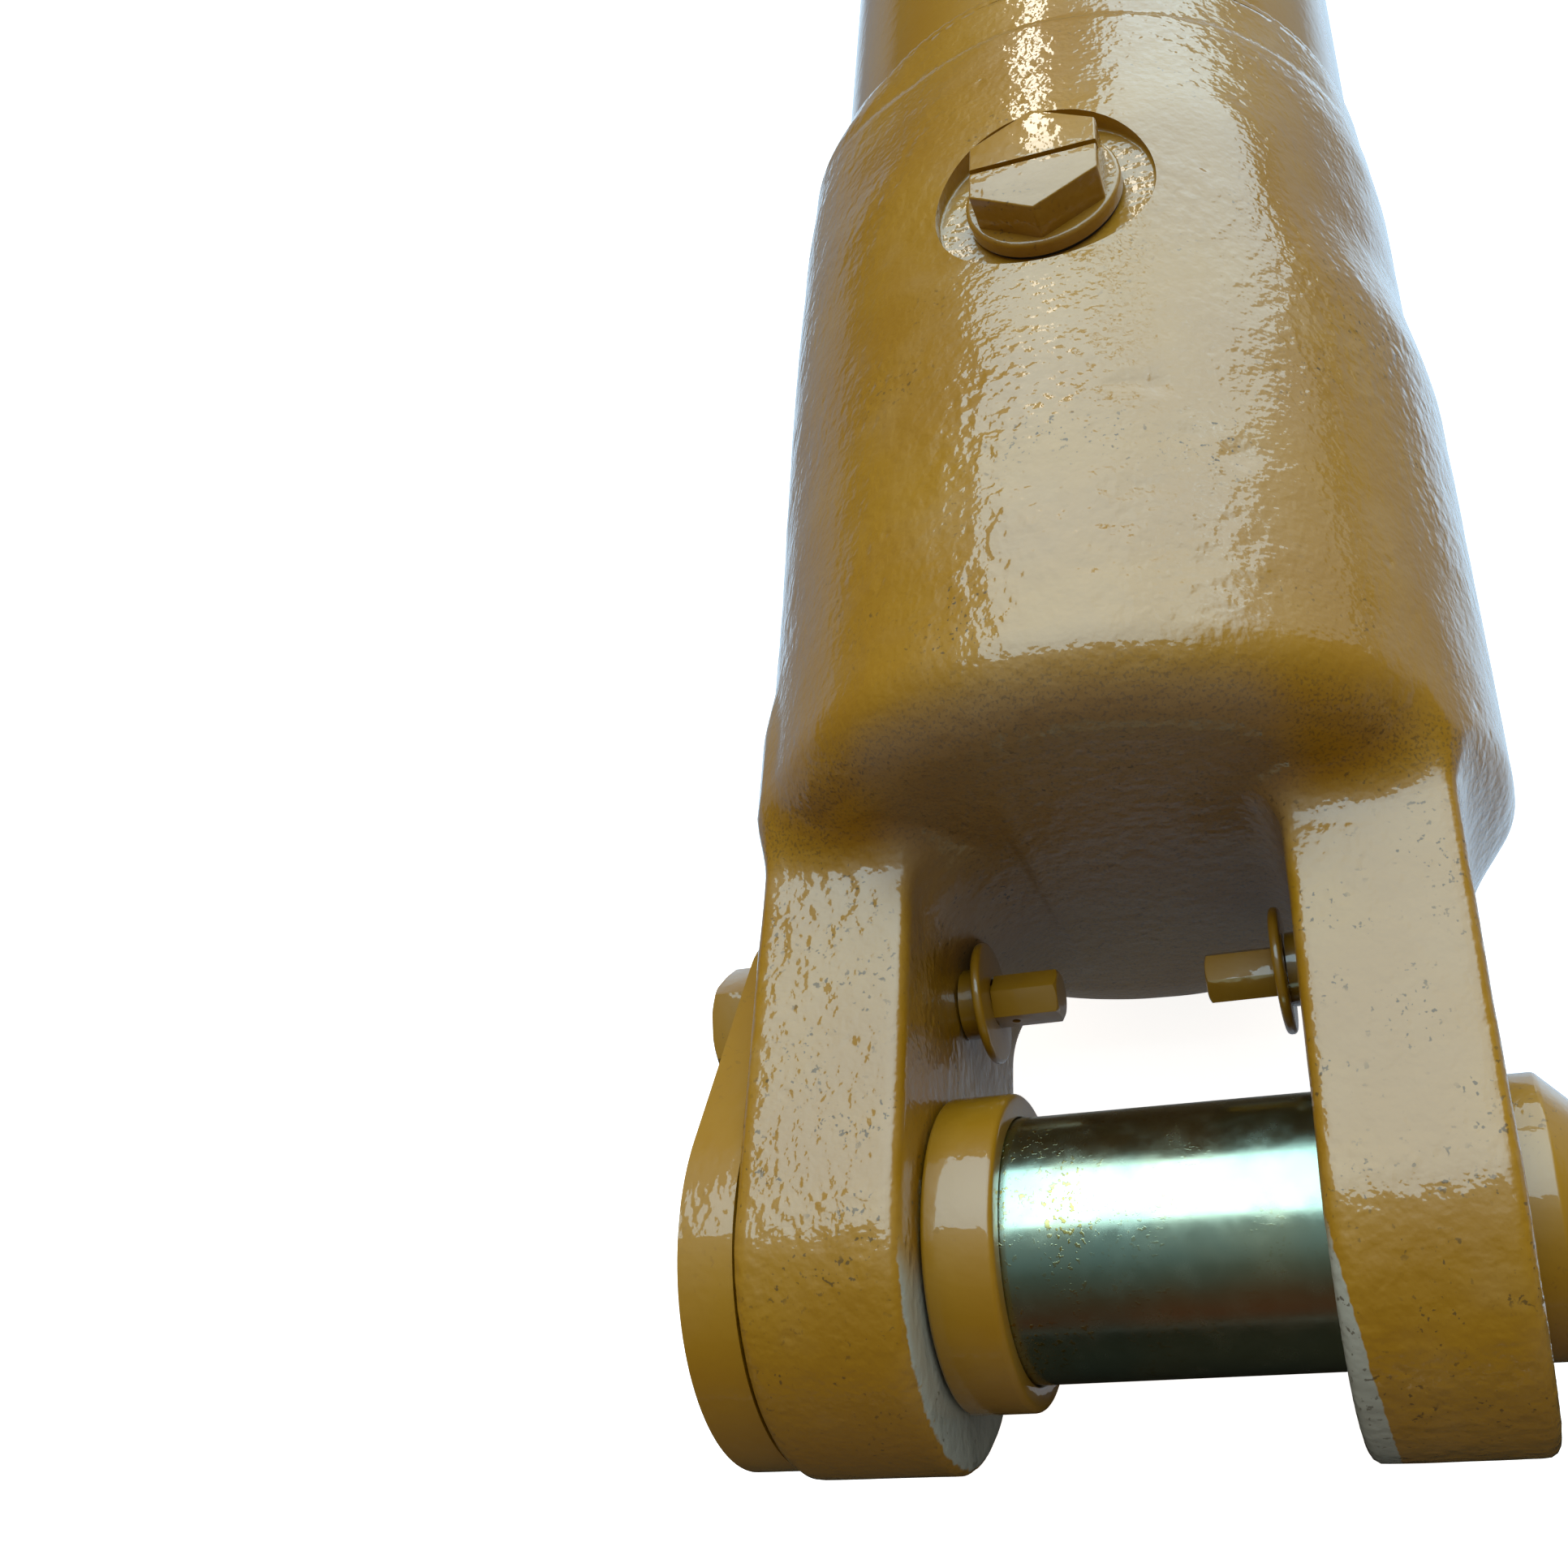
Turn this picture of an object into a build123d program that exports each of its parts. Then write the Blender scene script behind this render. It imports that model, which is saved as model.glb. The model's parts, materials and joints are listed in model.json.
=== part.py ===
from build123d import *
import math
import os

# A double-acting hydraulic cylinder with a cast clevis base.
# Millimetres. Origin at the centre of the base clevis pin, X along that pin,
# Y along the cylinder from the base towards the rod, Z up through the base port.

# --- driving dimensions ------------------------------------------------------
PIN_R = 25.0  # 50 mm base pin, and the pin that the rod eye takes
PIN_CLEARANCE = 0.05  # radial, pin in ear
EAR_INNER_X = 36.25  # half the 72.5 mm gap
EAR_OUTER_X = 68.75  # ears 32.5 mm thick
EAR_TIP_R = 40.5
EAR_EDGE_R = 3.0

BODY_R = 81.5  # round block of the base casting
BODY_END_Y = 72.5  # its flat end, which is the throat between the ears
BODY_EDGE_R = 15.0
THROAT_FILLET_R = 9.0
BODY_TAPER_Y = (232.0, 276.0)  # the block narrows here towards the barrel
BODY_TAPER_BLEND_R = 60.0
SHOULDER_Y = 294.0
SHOULDER_R = (76.6, 74.3)  # turned band at the end of the casting

BORE_R = 62.5
TUBE_R = 72.5
TUBE_START_Y = 274.0
POCKET_END_Y = 190.0
WELD_CLEARANCE = 0.05
WELD_LEG = 4.0

PORT_X = 3.0
PORT_Y = 209.0
SPOTFACE_R = 24.9
SPOTFACE_Z = 75.0
PORT_HOLE_R = 13.2
PLUG_FLATS = 28.3
PLUG_FOOT_Z = 63.5
PLUG_TOP_Z = 88.0
PLUG_COLLAR = (17.6, 76.2, 79.8)  # radius, bottom and top
PLUG_SLOT = (1.4, 2.6)  # width, and the height of its cutter
SEAL_GAP = 0.05

PLATE_OUTER_X = 79.75
PLATE_R = 38.6
PLATE_TIP_R = 18.8
BOLT_Y = 53.0
BOLT_R = 8.0  # M16
BOLT_FLATS = 24.0
BOLT_HEAD_X = 90.6
BOLT_DEPTH = 13.5  # into the ear
PIN_END_X = 82.5
PIN_END_CHAMFER = 8.5
PIN_HEAD_X = 82.0
FLAG_WELD = (4.0, 2.0)  # legs, along the plate and along the pin's head

SPACER_R = 29.9
SPACER_WIDTH = 13.7
SPACER_GAP = 0.3

STOP_X = (15.5, 29.6, 32.1, 52.0)  # hex end, washer faces, end of the thread
STOP_FLATS = 9.6
STOP_SHANK_R = 4.0
STOP_WASHER_R = 13.0
STOP_COLLAR_R = 7.5

HEAD_Y = 668.0  # joint face between collar and gland
HEAD_COLLAR_LENGTH = 58.0
HEAD_SEAT = 10.0
GLAND_FLANGE = 18.0
GLAND_NOSE_Y = 600.0
GLAND_SPIGOT_Y = 648.0
GLAND_NOSE_R = 52.0
HEAD_PORT_Y = 632.0
HEAD_PORT_HOLE_R = 9.0
HEAD_SPOTFACE_R = 18.0
HEAD_SPOTFACE_Z = 78.0
HEAD_PLUG_FLATS = 24.0
HEAD_PLUG_COLLAR = (15.0, 79.2, 82.4)  # radius, bottom and top
HEAD_PLUG_FOOT_Z = 65.0
HEAD_PLUG_TOP_Z = 89.5
HEAD_PLUG_SEAL_R = 14.4
HEAD_BOLTS = 10
HEAD_BOLT_CIRCLE_R = 72.0
HEAD_BOLT_R = 5.0  # M10
HEAD_BOLT_DEPTH = 24.0
SCREW_HEAD = (8.0, 10.0)  # radius and length
SCREW_SOCKET = (8.0, 5.0)  # across flats and depth

# Grooves inside the gland: radius, start and end along Y.
GLAND_GROOVES = {
    "rod_wiper": (41.0, 678.0, 687.0),
    "rod_seal": (42.5, 661.0, 671.0),
    "rod_buffer_seal": (41.5, 645.0, 651.0),
    "rod_wear_ring": (37.6, 610.0, 635.0),
}
ORING_GROOVE = (57.6, 654.0, 662.0)
ORING_END_Y = 659.5

ROD_R = 35.0
PISTON_Y = (276.0, 346.0)
PISTON_R = 62.1
PISTON_SEAL_Y = (306.0, 318.0)
GUIDE_RING_Y = ((284.0, 298.0), (326.0, 340.0))
SEAL_GROOVE_R = 54.0
GUIDE_GROOVE_R = 59.5
ROD_ORING_Y = (330.0, 334.0)
ROD_ORING_DEPTH = 2.4
SPIGOT_R = 24.0
NUT_LENGTH = 28.0
NUT_FLATS = 70.0
RUNNING = 0.1  # radial gap of the sliding seals and guide rings

EYE_Y = 770.0
EYE_R = 48.0
EYE_HALF_WIDTH = 35.0
EYE_NECK_Y = 712.0
EYE_NECK_R = 41.0
BUSH_R = 32.0
BUSH_HALF_LENGTH = 29.5
EYE_BORE_R = 25.05
FITTING_SEAT_Z = 46.8
FITTING_SEAT_R = 7.0
FITTING_R = 3.0
GREASE_WAY_R = 2.0

parts = {}


# --- helpers -----------------------------------------------------------------
def along_x(radius, x0, x1, y=0.0, z=0.0):
    """Cylinder from x0 to x1."""
    end = Plane(origin=(x0, y, z), x_dir=(0, 1, 0), z_dir=(1, 0, 0))
    return extrude(end * Circle(radius), x1 - x0)


def along_y(radius, y0, y1, x=0.0, z=0.0):
    """Cylinder from y0 to y1."""
    end = Plane(origin=(x, y0, z), x_dir=(1, 0, 0), z_dir=(0, 1, 0))
    return extrude(end * Circle(radius), y1 - y0)


def along_z(radius, z0, z1, x=0.0, y=0.0):
    """Cylinder from z0 to z1."""
    return Pos(x, y, z0) * extrude(Circle(radius), z1 - z0)


def ring_x(outer, inner, x0, x1, y=0.0):
    return along_x(outer, x0, x1, y) - along_x(inner, x0 - 1, x1 + 1, y)


def ring_y(outer, inner, y0, y1):
    return along_y(outer, y0, y1) - along_y(inner, y0 - 1, y1 + 1)


def ring_z(outer, inner, z0, z1, x, y):
    return along_z(outer, z0, z1, x, y) - along_z(inner, z0 - 1, z1 + 1, x, y)


def hex_bar(flats, length):
    """Hexagonal bar on +Z with two corners on the Y axis."""
    across_corners_r = flats / math.sqrt(3)
    return extrude(Rot(0, 0, 90) * RegularPolygon(across_corners_r, 6), length)


def rounded_hex(flats, length):
    """Hexagonal head whose outer end has its corners turned off at 30 degrees."""
    corner_r = flats / math.sqrt(3)
    drop = (corner_r - flats / 2 * 0.97) * math.tan(math.radians(30))
    turned = Cylinder(corner_r, length, align=(Align.CENTER, Align.CENTER, Align.MIN))
    top = turned.edges().group_by(Axis.Z)[-1]
    turned = chamfer(top, drop, length2=corner_r - flats / 2 * 0.97)
    return hex_bar(flats, length) & turned


def revolved(points):
    """Solid turned about the Y axis from (radius, y) points."""
    outline = Polyline(*[(r, y) for r, y in points], close=True)
    return revolve(make_face(outline), Axis.Y)


def mirrored(shape):
    return shape + mirror(shape, Plane.YZ)


# --- base casting ------------------------------------------------------------
def casting_block():
    """The round block with its turned shoulder, before the ears are added."""
    outline = Polyline(
        (0, BODY_END_Y),
        (BODY_R, BODY_END_Y),
        (BODY_R, BODY_TAPER_Y[0]),
        (SHOULDER_R[0], BODY_TAPER_Y[1]),
        (SHOULDER_R[1], SHOULDER_Y),
        (0, SHOULDER_Y),
        close=True,
    )
    face = make_face(outline)
    corners = face.vertices()
    rounding = {
        (BODY_R, BODY_END_Y): BODY_EDGE_R,
        (BODY_R, BODY_TAPER_Y[0]): BODY_TAPER_BLEND_R,
        (SHOULDER_R[0], BODY_TAPER_Y[1]): 6.0,
        (SHOULDER_R[1], SHOULDER_Y): 1.5,
    }
    for (radius, y), size in rounding.items():
        corner = corners.sort_by_distance((radius, y, 0))[0]
        near = face.vertices().sort_by_distance((corner.X, corner.Y, 0))[0]
        face = fillet(near, size)
    return revolve(face, Axis.Y)


def ear(inner_x, outer_x):
    """One ear: straight sides into the block, round tip about the pin."""
    root_y = BODY_END_Y + 20
    outline = Rectangle(root_y, 2 * EAR_TIP_R, align=(Align.MIN, Align.CENTER))
    outline += Circle(EAR_TIP_R)
    plate = Pos(inner_x, 0, 0) * extrude(Plane.YZ * outline, outer_x - inner_x)
    rims = plate.edges().filter_by(
        lambda e: abs(e.center().X - inner_x) < 0.01
        or abs(e.center().X - outer_x) < 0.01
    )
    outside = [e for e in rims if e.center().Y < root_y - 1]
    return fillet(outside, EAR_EDGE_R)


def throat_fillet(side):
    """Concave corner between an ear's inner face and the throat."""
    size = THROAT_FILLET_R
    corner = Rectangle(size + 1, size + 1, align=(Align.MAX, Align.MAX))
    corner = Pos(1, 1) * corner - Pos(-size, -size) * Circle(size)
    height = 2 * (EAR_TIP_R - EAR_EDGE_R)
    prism = extrude(corner, height / 2, both=True)
    placed = Pos(EAR_INNER_X, BODY_END_Y, 0) * prism
    return placed if side > 0 else mirror(placed, Plane.YZ)


def make_base_clevis():
    ears = mirrored(ear(EAR_INNER_X, EAR_OUTER_X))
    casting = casting_block() + ears
    for side in (-1, 1):
        casting += throat_fillet(side)
    casting -= along_y(BORE_R, POCKET_END_Y, SHOULDER_Y + 1)
    seat_r = TUBE_R + WELD_CLEARANCE
    casting -= along_y(seat_r, TUBE_START_Y - WELD_CLEARANCE, SHOULDER_Y + 1)
    casting -= along_z(SPOTFACE_R, SPOTFACE_Z, 2 * BODY_R, PORT_X, PORT_Y)
    casting -= along_z(PORT_HOLE_R, 0, 2 * BODY_R, PORT_X, PORT_Y)
    casting -= along_x(PIN_R + PIN_CLEARANCE, -2 * BODY_R, 2 * BODY_R)
    bolt_hole_end = -EAR_OUTER_X + BOLT_DEPTH + 0.5
    casting -= along_x(BOLT_R, -EAR_OUTER_X - 1, bolt_hole_end, BOLT_Y)
    for side in (-1, 1):
        start, stop = sorted((side * (EAR_INNER_X - 1), side * STOP_X[3]))
        casting -= along_x(STOP_SHANK_R, start, stop, BOLT_Y)
    return casting


def make_barrel_tube():
    tube_end = HEAD_Y - HEAD_COLLAR_LENGTH + HEAD_SEAT
    return ring_y(TUBE_R, BORE_R, TUBE_START_Y, tube_end)


# --- base port plug ----------------------------------------------------------
def make_plug(x, y, flats, hole_r, collar, top_z, foot_z):
    """Slotted hexagon plug with a round collar, standing on +Z."""
    collar_r, collar_bottom, collar_top = collar
    plug = along_z(collar_r, collar_bottom, collar_top)
    plug = chamfer(plug.edges().group_by(Axis.Z)[-1], 0.6)
    head = Pos(0, 0, collar_top) * hex_bar(flats, top_z - collar_top)
    head = chamfer(head.edges().group_by(Axis.Z)[-1], 0.5)
    slot = Pos(0, 0, top_z) * Box(2 * flats, *PLUG_SLOT)
    shank = along_z(hole_r - SEAL_GAP, foot_z, collar_bottom)
    return Pos(x, y, 0) * (plug + head - slot + shank)


def make_base_port_plug():
    return make_plug(
        PORT_X, PORT_Y, PLUG_FLATS, PORT_HOLE_R, PLUG_COLLAR, PLUG_TOP_Z, PLUG_FOOT_Z
    )


def make_base_plug_seal():
    return ring_z(
        PLUG_COLLAR[0] - 0.6,
        PORT_HOLE_R,
        SPOTFACE_Z,
        PLUG_COLLAR[1],
        PORT_X,
        PORT_Y,
    )


# --- pin, flag plate, spacer and ear bolts -----------------------------------
def make_clevis_pin():
    pin = along_x(PIN_R, -PIN_HEAD_X, PIN_END_X)
    tip = pin.edges().sort_by(Axis.X)[-1]
    pin = chamfer(tip, PIN_END_CHAMFER)
    pin = fillet(pin.edges().sort_by(Axis.X)[-1], 2.5)
    return fillet(pin.edges().sort_by(Axis.X)[0], 1.2)


def make_flag_plate():
    """Teardrop plate round the pin, tapering to the bolt."""
    lean = math.asin((PLATE_R - PLATE_TIP_R) / BOLT_Y)
    side = (math.sin(lean), math.cos(lean))
    wide = (PLATE_R * side[0], PLATE_R * side[1])
    narrow = (BOLT_Y + PLATE_TIP_R * side[0], PLATE_TIP_R * side[1])
    outline = Polyline(
        wide, narrow, (narrow[0], -narrow[1]), (wide[0], -wide[1]), close=True
    )
    shape = make_face(outline) + Circle(PLATE_R) + Pos(BOLT_Y, 0) * Circle(PLATE_TIP_R)
    thick = PLATE_OUTER_X - EAR_OUTER_X - WELD_CLEARANCE
    plate = Pos(-PLATE_OUTER_X, 0, 0) * extrude(Plane.YZ * shape, thick)
    outer_rim = plate.edges().group_by(Axis.X)[0]
    plate = fillet(outer_rim, 1.5)
    plate -= along_x(PIN_R + SEAL_GAP, -PLATE_OUTER_X - 1, -EAR_OUTER_X + 1)
    return plate - along_x(BOLT_R + 0.7, -PLATE_OUTER_X - 1, -EAR_OUTER_X + 1, BOLT_Y)


def make_flag_weld():
    """Fillet weld between the pin's head and the flag plate."""
    radius, height = PIN_R + SEAL_GAP, PLATE_OUTER_X + SEAL_GAP
    across, up = FLAG_WELD
    bead = Polyline(
        (radius, height), (radius + across, height), (radius, height + up), close=True
    )
    turned = revolve(make_face(bead), Axis.Y)
    return Rot(0, 0, 90) * turned


def make_flag_bolt():
    seat_x = PLATE_OUTER_X + SEAL_GAP
    head = rounded_hex(BOLT_FLATS, BOLT_HEAD_X - seat_x)
    head = Pos(-seat_x, BOLT_Y, 0) * Rot(0, -90, 0) * Rot(0, 0, 12) * head
    shank_end = -EAR_OUTER_X + BOLT_DEPTH
    return head + along_x(BOLT_R - SEAL_GAP, -seat_x, shank_end, BOLT_Y)


def make_pin_spacer():
    left = -EAR_INNER_X + SPACER_GAP
    body = along_x(SPACER_R, left, left + SPACER_WIDTH)
    body = fillet(body.edges(), 1.2)
    return body - along_x(PIN_R + RUNNING, left - 1, left + SPACER_WIDTH + 1)


def make_stop_bolts():
    """Hex-bodied studs, one in the inner face of each ear."""
    hex_end, hex_root, _, thread_end = STOP_X
    head = rounded_hex(STOP_FLATS, hex_root - hex_end)
    stud = Pos(hex_root, BOLT_Y, 0) * Rot(0, -90, 0) * Rot(0, 0, 90) * head
    stud += along_x(STOP_SHANK_R - SEAL_GAP, hex_root, thread_end - 1, BOLT_Y)
    return mirrored(stud)


def make_stop_washers():
    inner, outer = STOP_X[1] + SEAL_GAP, STOP_X[2]
    washer = along_x(STOP_WASHER_R, inner, outer, BOLT_Y)
    washer = fillet(washer.edges().group_by(Axis.X)[0], 0.8)
    return mirrored(washer - along_x(STOP_SHANK_R + 0.3, 0, 50, BOLT_Y))


def make_stop_collars():
    inner, outer = STOP_X[2] + SEAL_GAP, EAR_INNER_X - SEAL_GAP
    return mirrored(ring_x(STOP_COLLAR_R, STOP_SHANK_R + 0.3, inner, outer, BOLT_Y))


# --- head end ----------------------------------------------------------------
def head_bolt_places():
    """Bolt places on the head's circle; the port lies between two of them."""
    step = 2 * math.pi / HEAD_BOLTS
    for number in range(HEAD_BOLTS):
        angle = math.pi / 2 + (number + 0.5) * step
        yield (
            HEAD_BOLT_CIRCLE_R * math.cos(angle),
            HEAD_BOLT_CIRCLE_R * math.sin(angle),
        )


def make_head_collar():
    start = HEAD_Y - HEAD_COLLAR_LENGTH
    collar = along_y(BODY_R, start, HEAD_Y)
    collar = chamfer(collar.edges().sort_by(Axis.Y)[0], 4.0)
    collar -= along_y(TUBE_R + WELD_CLEARANCE, start - 1, start + HEAD_SEAT)
    collar -= along_y(BORE_R, start, HEAD_Y + 1)
    collar -= along_z(HEAD_SPOTFACE_R, HEAD_SPOTFACE_Z, 2 * BODY_R, 0, HEAD_PORT_Y)
    collar -= along_z(HEAD_PORT_HOLE_R, 0, 2 * BODY_R, 0, HEAD_PORT_Y)
    for x, z in head_bolt_places():
        collar -= along_y(HEAD_BOLT_R, HEAD_Y - HEAD_BOLT_DEPTH, HEAD_Y + 1, x, z)
    return collar


def make_collar_weld():
    """Ring weld where the tube enters the head collar."""
    start = HEAD_Y - HEAD_COLLAR_LENGTH - SEAL_GAP
    inner = TUBE_R + SEAL_GAP
    return revolved([(inner, start), (inner + WELD_LEG, start), (inner, start - WELD_LEG)])


def make_casting_weld():
    """Low ring weld where the tube leaves the base casting."""
    start = SHOULDER_Y + SEAL_GAP
    inner = TUBE_R + SEAL_GAP
    outer = SHOULDER_R[1] - 0.5
    return revolved([(inner, start), (outer, start), (inner, start + WELD_LEG)])


def make_head_gland():
    front = HEAD_Y + GLAND_FLANGE
    gland = along_y(BODY_R, HEAD_Y + SEAL_GAP, front)
    gland = chamfer(gland.edges().sort_by(Axis.Y)[-1], 2.5)
    gland += along_y(BORE_R - 0.05, GLAND_SPIGOT_Y, HEAD_Y + 1)
    gland += along_y(GLAND_NOSE_R, GLAND_NOSE_Y, GLAND_SPIGOT_Y + 1)
    gland -= along_y(ROD_R + 0.4, GLAND_NOSE_Y - 1, front + 1)
    for outer, start, stop in GLAND_GROOVES.values():
        gland -= along_y(outer, start, stop)
    gland -= ring_y(BORE_R + 1, *ORING_GROOVE)
    for x, z in head_bolt_places():
        gland -= along_y(HEAD_BOLT_R + 0.5, HEAD_Y - 1, front + 1, x, z)
    return gland


def gland_ring(name, end_gap=0.1):
    """A ring that fills its groove and runs on the rod."""
    outer, start, stop = GLAND_GROOVES[name]
    return ring_y(outer - 0.05, ROD_R + RUNNING, start + end_gap, stop - end_gap)


def make_rod_wiper():
    outer, start, stop = GLAND_GROOVES["rod_wiper"]
    lip = revolved(
        [
            (ROD_R + RUNNING, start + 0.1),
            (outer - 0.05, start + 0.1),
            (outer - 0.05, stop - 1.0),
            (ROD_R + 3.0, stop - 1.0),
            (ROD_R + 1.0, stop + 3.0),
            (ROD_R + RUNNING, stop + 3.0),
        ]
    )
    return lip


def make_gland_oring():
    inner, start, _ = ORING_GROOVE
    return ring_y(BORE_R - 0.05, inner + 0.05, start + 0.1, ORING_END_Y)


def make_gland_backup_ring():
    inner, _, stop = ORING_GROOVE
    return ring_y(BORE_R - 0.05, inner + 0.05, ORING_END_Y + 0.1, stop - 0.1)


def make_gland_bolts():
    """Socket-head cap screws round the gland flange."""
    front = HEAD_Y + GLAND_FLANGE
    head_r, head_length = SCREW_HEAD
    socket_flats, socket_depth = SCREW_SOCKET
    screw = Cylinder(head_r, head_length, align=(Align.CENTER, Align.CENTER, Align.MIN))
    screw = fillet(screw.edges().group_by(Axis.Z)[-1], 0.8)
    screw -= Pos(0, 0, head_length - socket_depth) * hex_bar(socket_flats, 10)
    shank_length = GLAND_FLANGE + HEAD_BOLT_DEPTH - 1
    screw += Pos(0, 0, -shank_length) * Cylinder(
        HEAD_BOLT_R - SEAL_GAP,
        shank_length,
        align=(Align.CENTER, Align.CENTER, Align.MIN),
    )
    screw = Rot(-90, 0, 0) * screw
    seat = front + SEAL_GAP
    return Compound([Pos(x, seat, z) * screw for x, z in head_bolt_places()])


def make_head_port_plug():
    return make_plug(
        0,
        HEAD_PORT_Y,
        HEAD_PLUG_FLATS,
        HEAD_PORT_HOLE_R,
        HEAD_PLUG_COLLAR,
        HEAD_PLUG_TOP_Z,
        HEAD_PLUG_FOOT_Z,
    )


def make_head_plug_seal():
    top = HEAD_PLUG_COLLAR[1]
    return ring_z(
        HEAD_PLUG_SEAL_R, HEAD_PORT_HOLE_R, HEAD_SPOTFACE_Z, top, 0, HEAD_PORT_Y
    )


# --- piston and rod ----------------------------------------------------------
def make_piston():
    piston = along_y(PISTON_R, *PISTON_Y)
    piston = chamfer(piston.edges(), 1.5)
    piston -= along_y(SPIGOT_R + 0.05, PISTON_Y[0] - 1, PISTON_Y[1] + 1)
    piston -= ring_y(PISTON_R + 1, SEAL_GROOVE_R, *PISTON_SEAL_Y)
    for start, stop in GUIDE_RING_Y:
        piston -= ring_y(PISTON_R + 1, GUIDE_GROOVE_R, start, stop)
    return piston


def make_piston_seal():
    start, stop = PISTON_SEAL_Y
    outer = BORE_R - RUNNING
    return ring_y(outer, SEAL_GROOVE_R + RUNNING, start + RUNNING, stop - RUNNING)


def make_piston_guide_rings():
    outer = BORE_R - RUNNING
    rings = [
        ring_y(outer, GUIDE_GROOVE_R + RUNNING, start + RUNNING, stop - RUNNING)
        for start, stop in GUIDE_RING_Y
    ]
    return Compound(rings)


def make_piston_nut():
    nut = hex_bar(NUT_FLATS, NUT_LENGTH)
    nut = Pos(0, PISTON_Y[0] - SEAL_GAP, 0) * Rot(90, 0, 0) * nut
    return nut - along_y(SPIGOT_R, 200, 300)


def make_piston_rod():
    rod = along_y(ROD_R, PISTON_Y[1] + SEAL_GAP, EYE_NECK_Y)
    rod += along_y(SPIGOT_R - SEAL_GAP, PISTON_Y[0] - NUT_LENGTH - 4, PISTON_Y[1] + 1)
    return rod - ring_y(SPIGOT_R + 1, SPIGOT_R - ROD_ORING_DEPTH, *ROD_ORING_Y)


def make_rod_oring():
    start, stop = ROD_ORING_Y
    inner = SPIGOT_R - ROD_ORING_DEPTH + 0.05
    return ring_y(SPIGOT_R, inner, start + 0.05, stop - 0.05)


def make_rod_eye():
    eye = along_x(EYE_R, -EYE_HALF_WIDTH, EYE_HALF_WIDTH, EYE_Y)
    eye = fillet(eye.edges(), 3.0)
    neck = along_y(EYE_NECK_R, EYE_NECK_Y + SEAL_GAP, EYE_Y - 20)
    neck = chamfer(neck.edges().sort_by(Axis.Y)[0], 4.0)
    keep = Pos(0, EYE_Y, 0) * Box(2 * EYE_HALF_WIDTH, 200, 200)
    eye = eye + (neck & keep)
    eye -= along_x(BUSH_R + 0.02, -EYE_HALF_WIDTH - 1, EYE_HALF_WIDTH + 1, EYE_Y)
    eye -= along_z(FITTING_SEAT_R, FITTING_SEAT_Z, 2 * EYE_R, 0, EYE_Y)
    return eye - along_z(FITTING_R, 0, 2 * EYE_R, 0, EYE_Y)


def make_rod_eye_bush():
    bush = ring_x(BUSH_R, EYE_BORE_R, -BUSH_HALF_LENGTH, BUSH_HALF_LENGTH, EYE_Y)
    return bush - along_z(GREASE_WAY_R, 0, BUSH_R + 5, 0, EYE_Y)


def make_eye_seals():
    """Lip seals that keep grit out of the bush, one at each end."""
    seal = ring_x(
        BUSH_R, EYE_BORE_R + 0.6, BUSH_HALF_LENGTH + 0.1, EYE_HALF_WIDTH, EYE_Y
    )
    return mirrored(seal)


def make_grease_fitting():
    """Nipple screwed into the top of the rod eye."""
    top = FITTING_SEAT_Z + SEAL_GAP
    nipple = along_z(FITTING_R - SEAL_GAP, top - 8, top)
    nipple += Pos(0, 0, top) * hex_bar(9.0, 4.4)
    nipple += along_z(2.4, top, top + 8)
    nipple += Pos(0, 0, top + 8.5) * Sphere(3.2)
    return Pos(0, EYE_Y, 0) * nipple


# --- write every piece -------------------------------------------------------
parts["base_clevis"] = make_base_clevis()
parts["barrel_tube"] = make_barrel_tube()
parts["head_collar"] = make_head_collar()
parts["casting_weld"] = make_casting_weld()
parts["collar_weld"] = make_collar_weld()
parts["base_port_plug"] = make_base_port_plug()
parts["base_plug_seal"] = make_base_plug_seal()
parts["clevis_pin"] = make_clevis_pin()
parts["pin_flag_plate"] = make_flag_plate()
parts["flag_weld"] = make_flag_weld()
parts["flag_bolt"] = make_flag_bolt()
parts["pin_spacer"] = make_pin_spacer()
parts["ear_stop_bolts"] = make_stop_bolts()
parts["ear_stop_washers"] = make_stop_washers()
parts["ear_stop_collars"] = make_stop_collars()
parts["head_gland"] = make_head_gland()
parts["gland_bolts"] = make_gland_bolts()
parts["gland_oring"] = make_gland_oring()
parts["gland_backup_ring"] = make_gland_backup_ring()
parts["rod_seal"] = gland_ring("rod_seal")
parts["rod_buffer_seal"] = gland_ring("rod_buffer_seal")
parts["rod_wear_ring"] = gland_ring("rod_wear_ring")
parts["rod_wiper"] = make_rod_wiper()
parts["head_port_plug"] = make_head_port_plug()
parts["head_plug_seal"] = make_head_plug_seal()
parts["piston"] = make_piston()
parts["piston_seal"] = make_piston_seal()
parts["piston_guide_rings"] = make_piston_guide_rings()
parts["piston_nut"] = make_piston_nut()
parts["piston_rod"] = make_piston_rod()
parts["rod_static_oring"] = make_rod_oring()
parts["rod_eye"] = make_rod_eye()
parts["rod_eye_bush"] = make_rod_eye_bush()
parts["rod_eye_seals"] = make_eye_seals()
parts["grease_fitting"] = make_grease_fitting()

os.makedirs("parts", exist_ok=True)
for name, shape in parts.items():
    export_step(shape, f"parts/{name}.step")
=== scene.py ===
import bmesh
import bpy
import json
import math
import numpy as np
from mathutils import Matrix, Vector, noise


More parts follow.
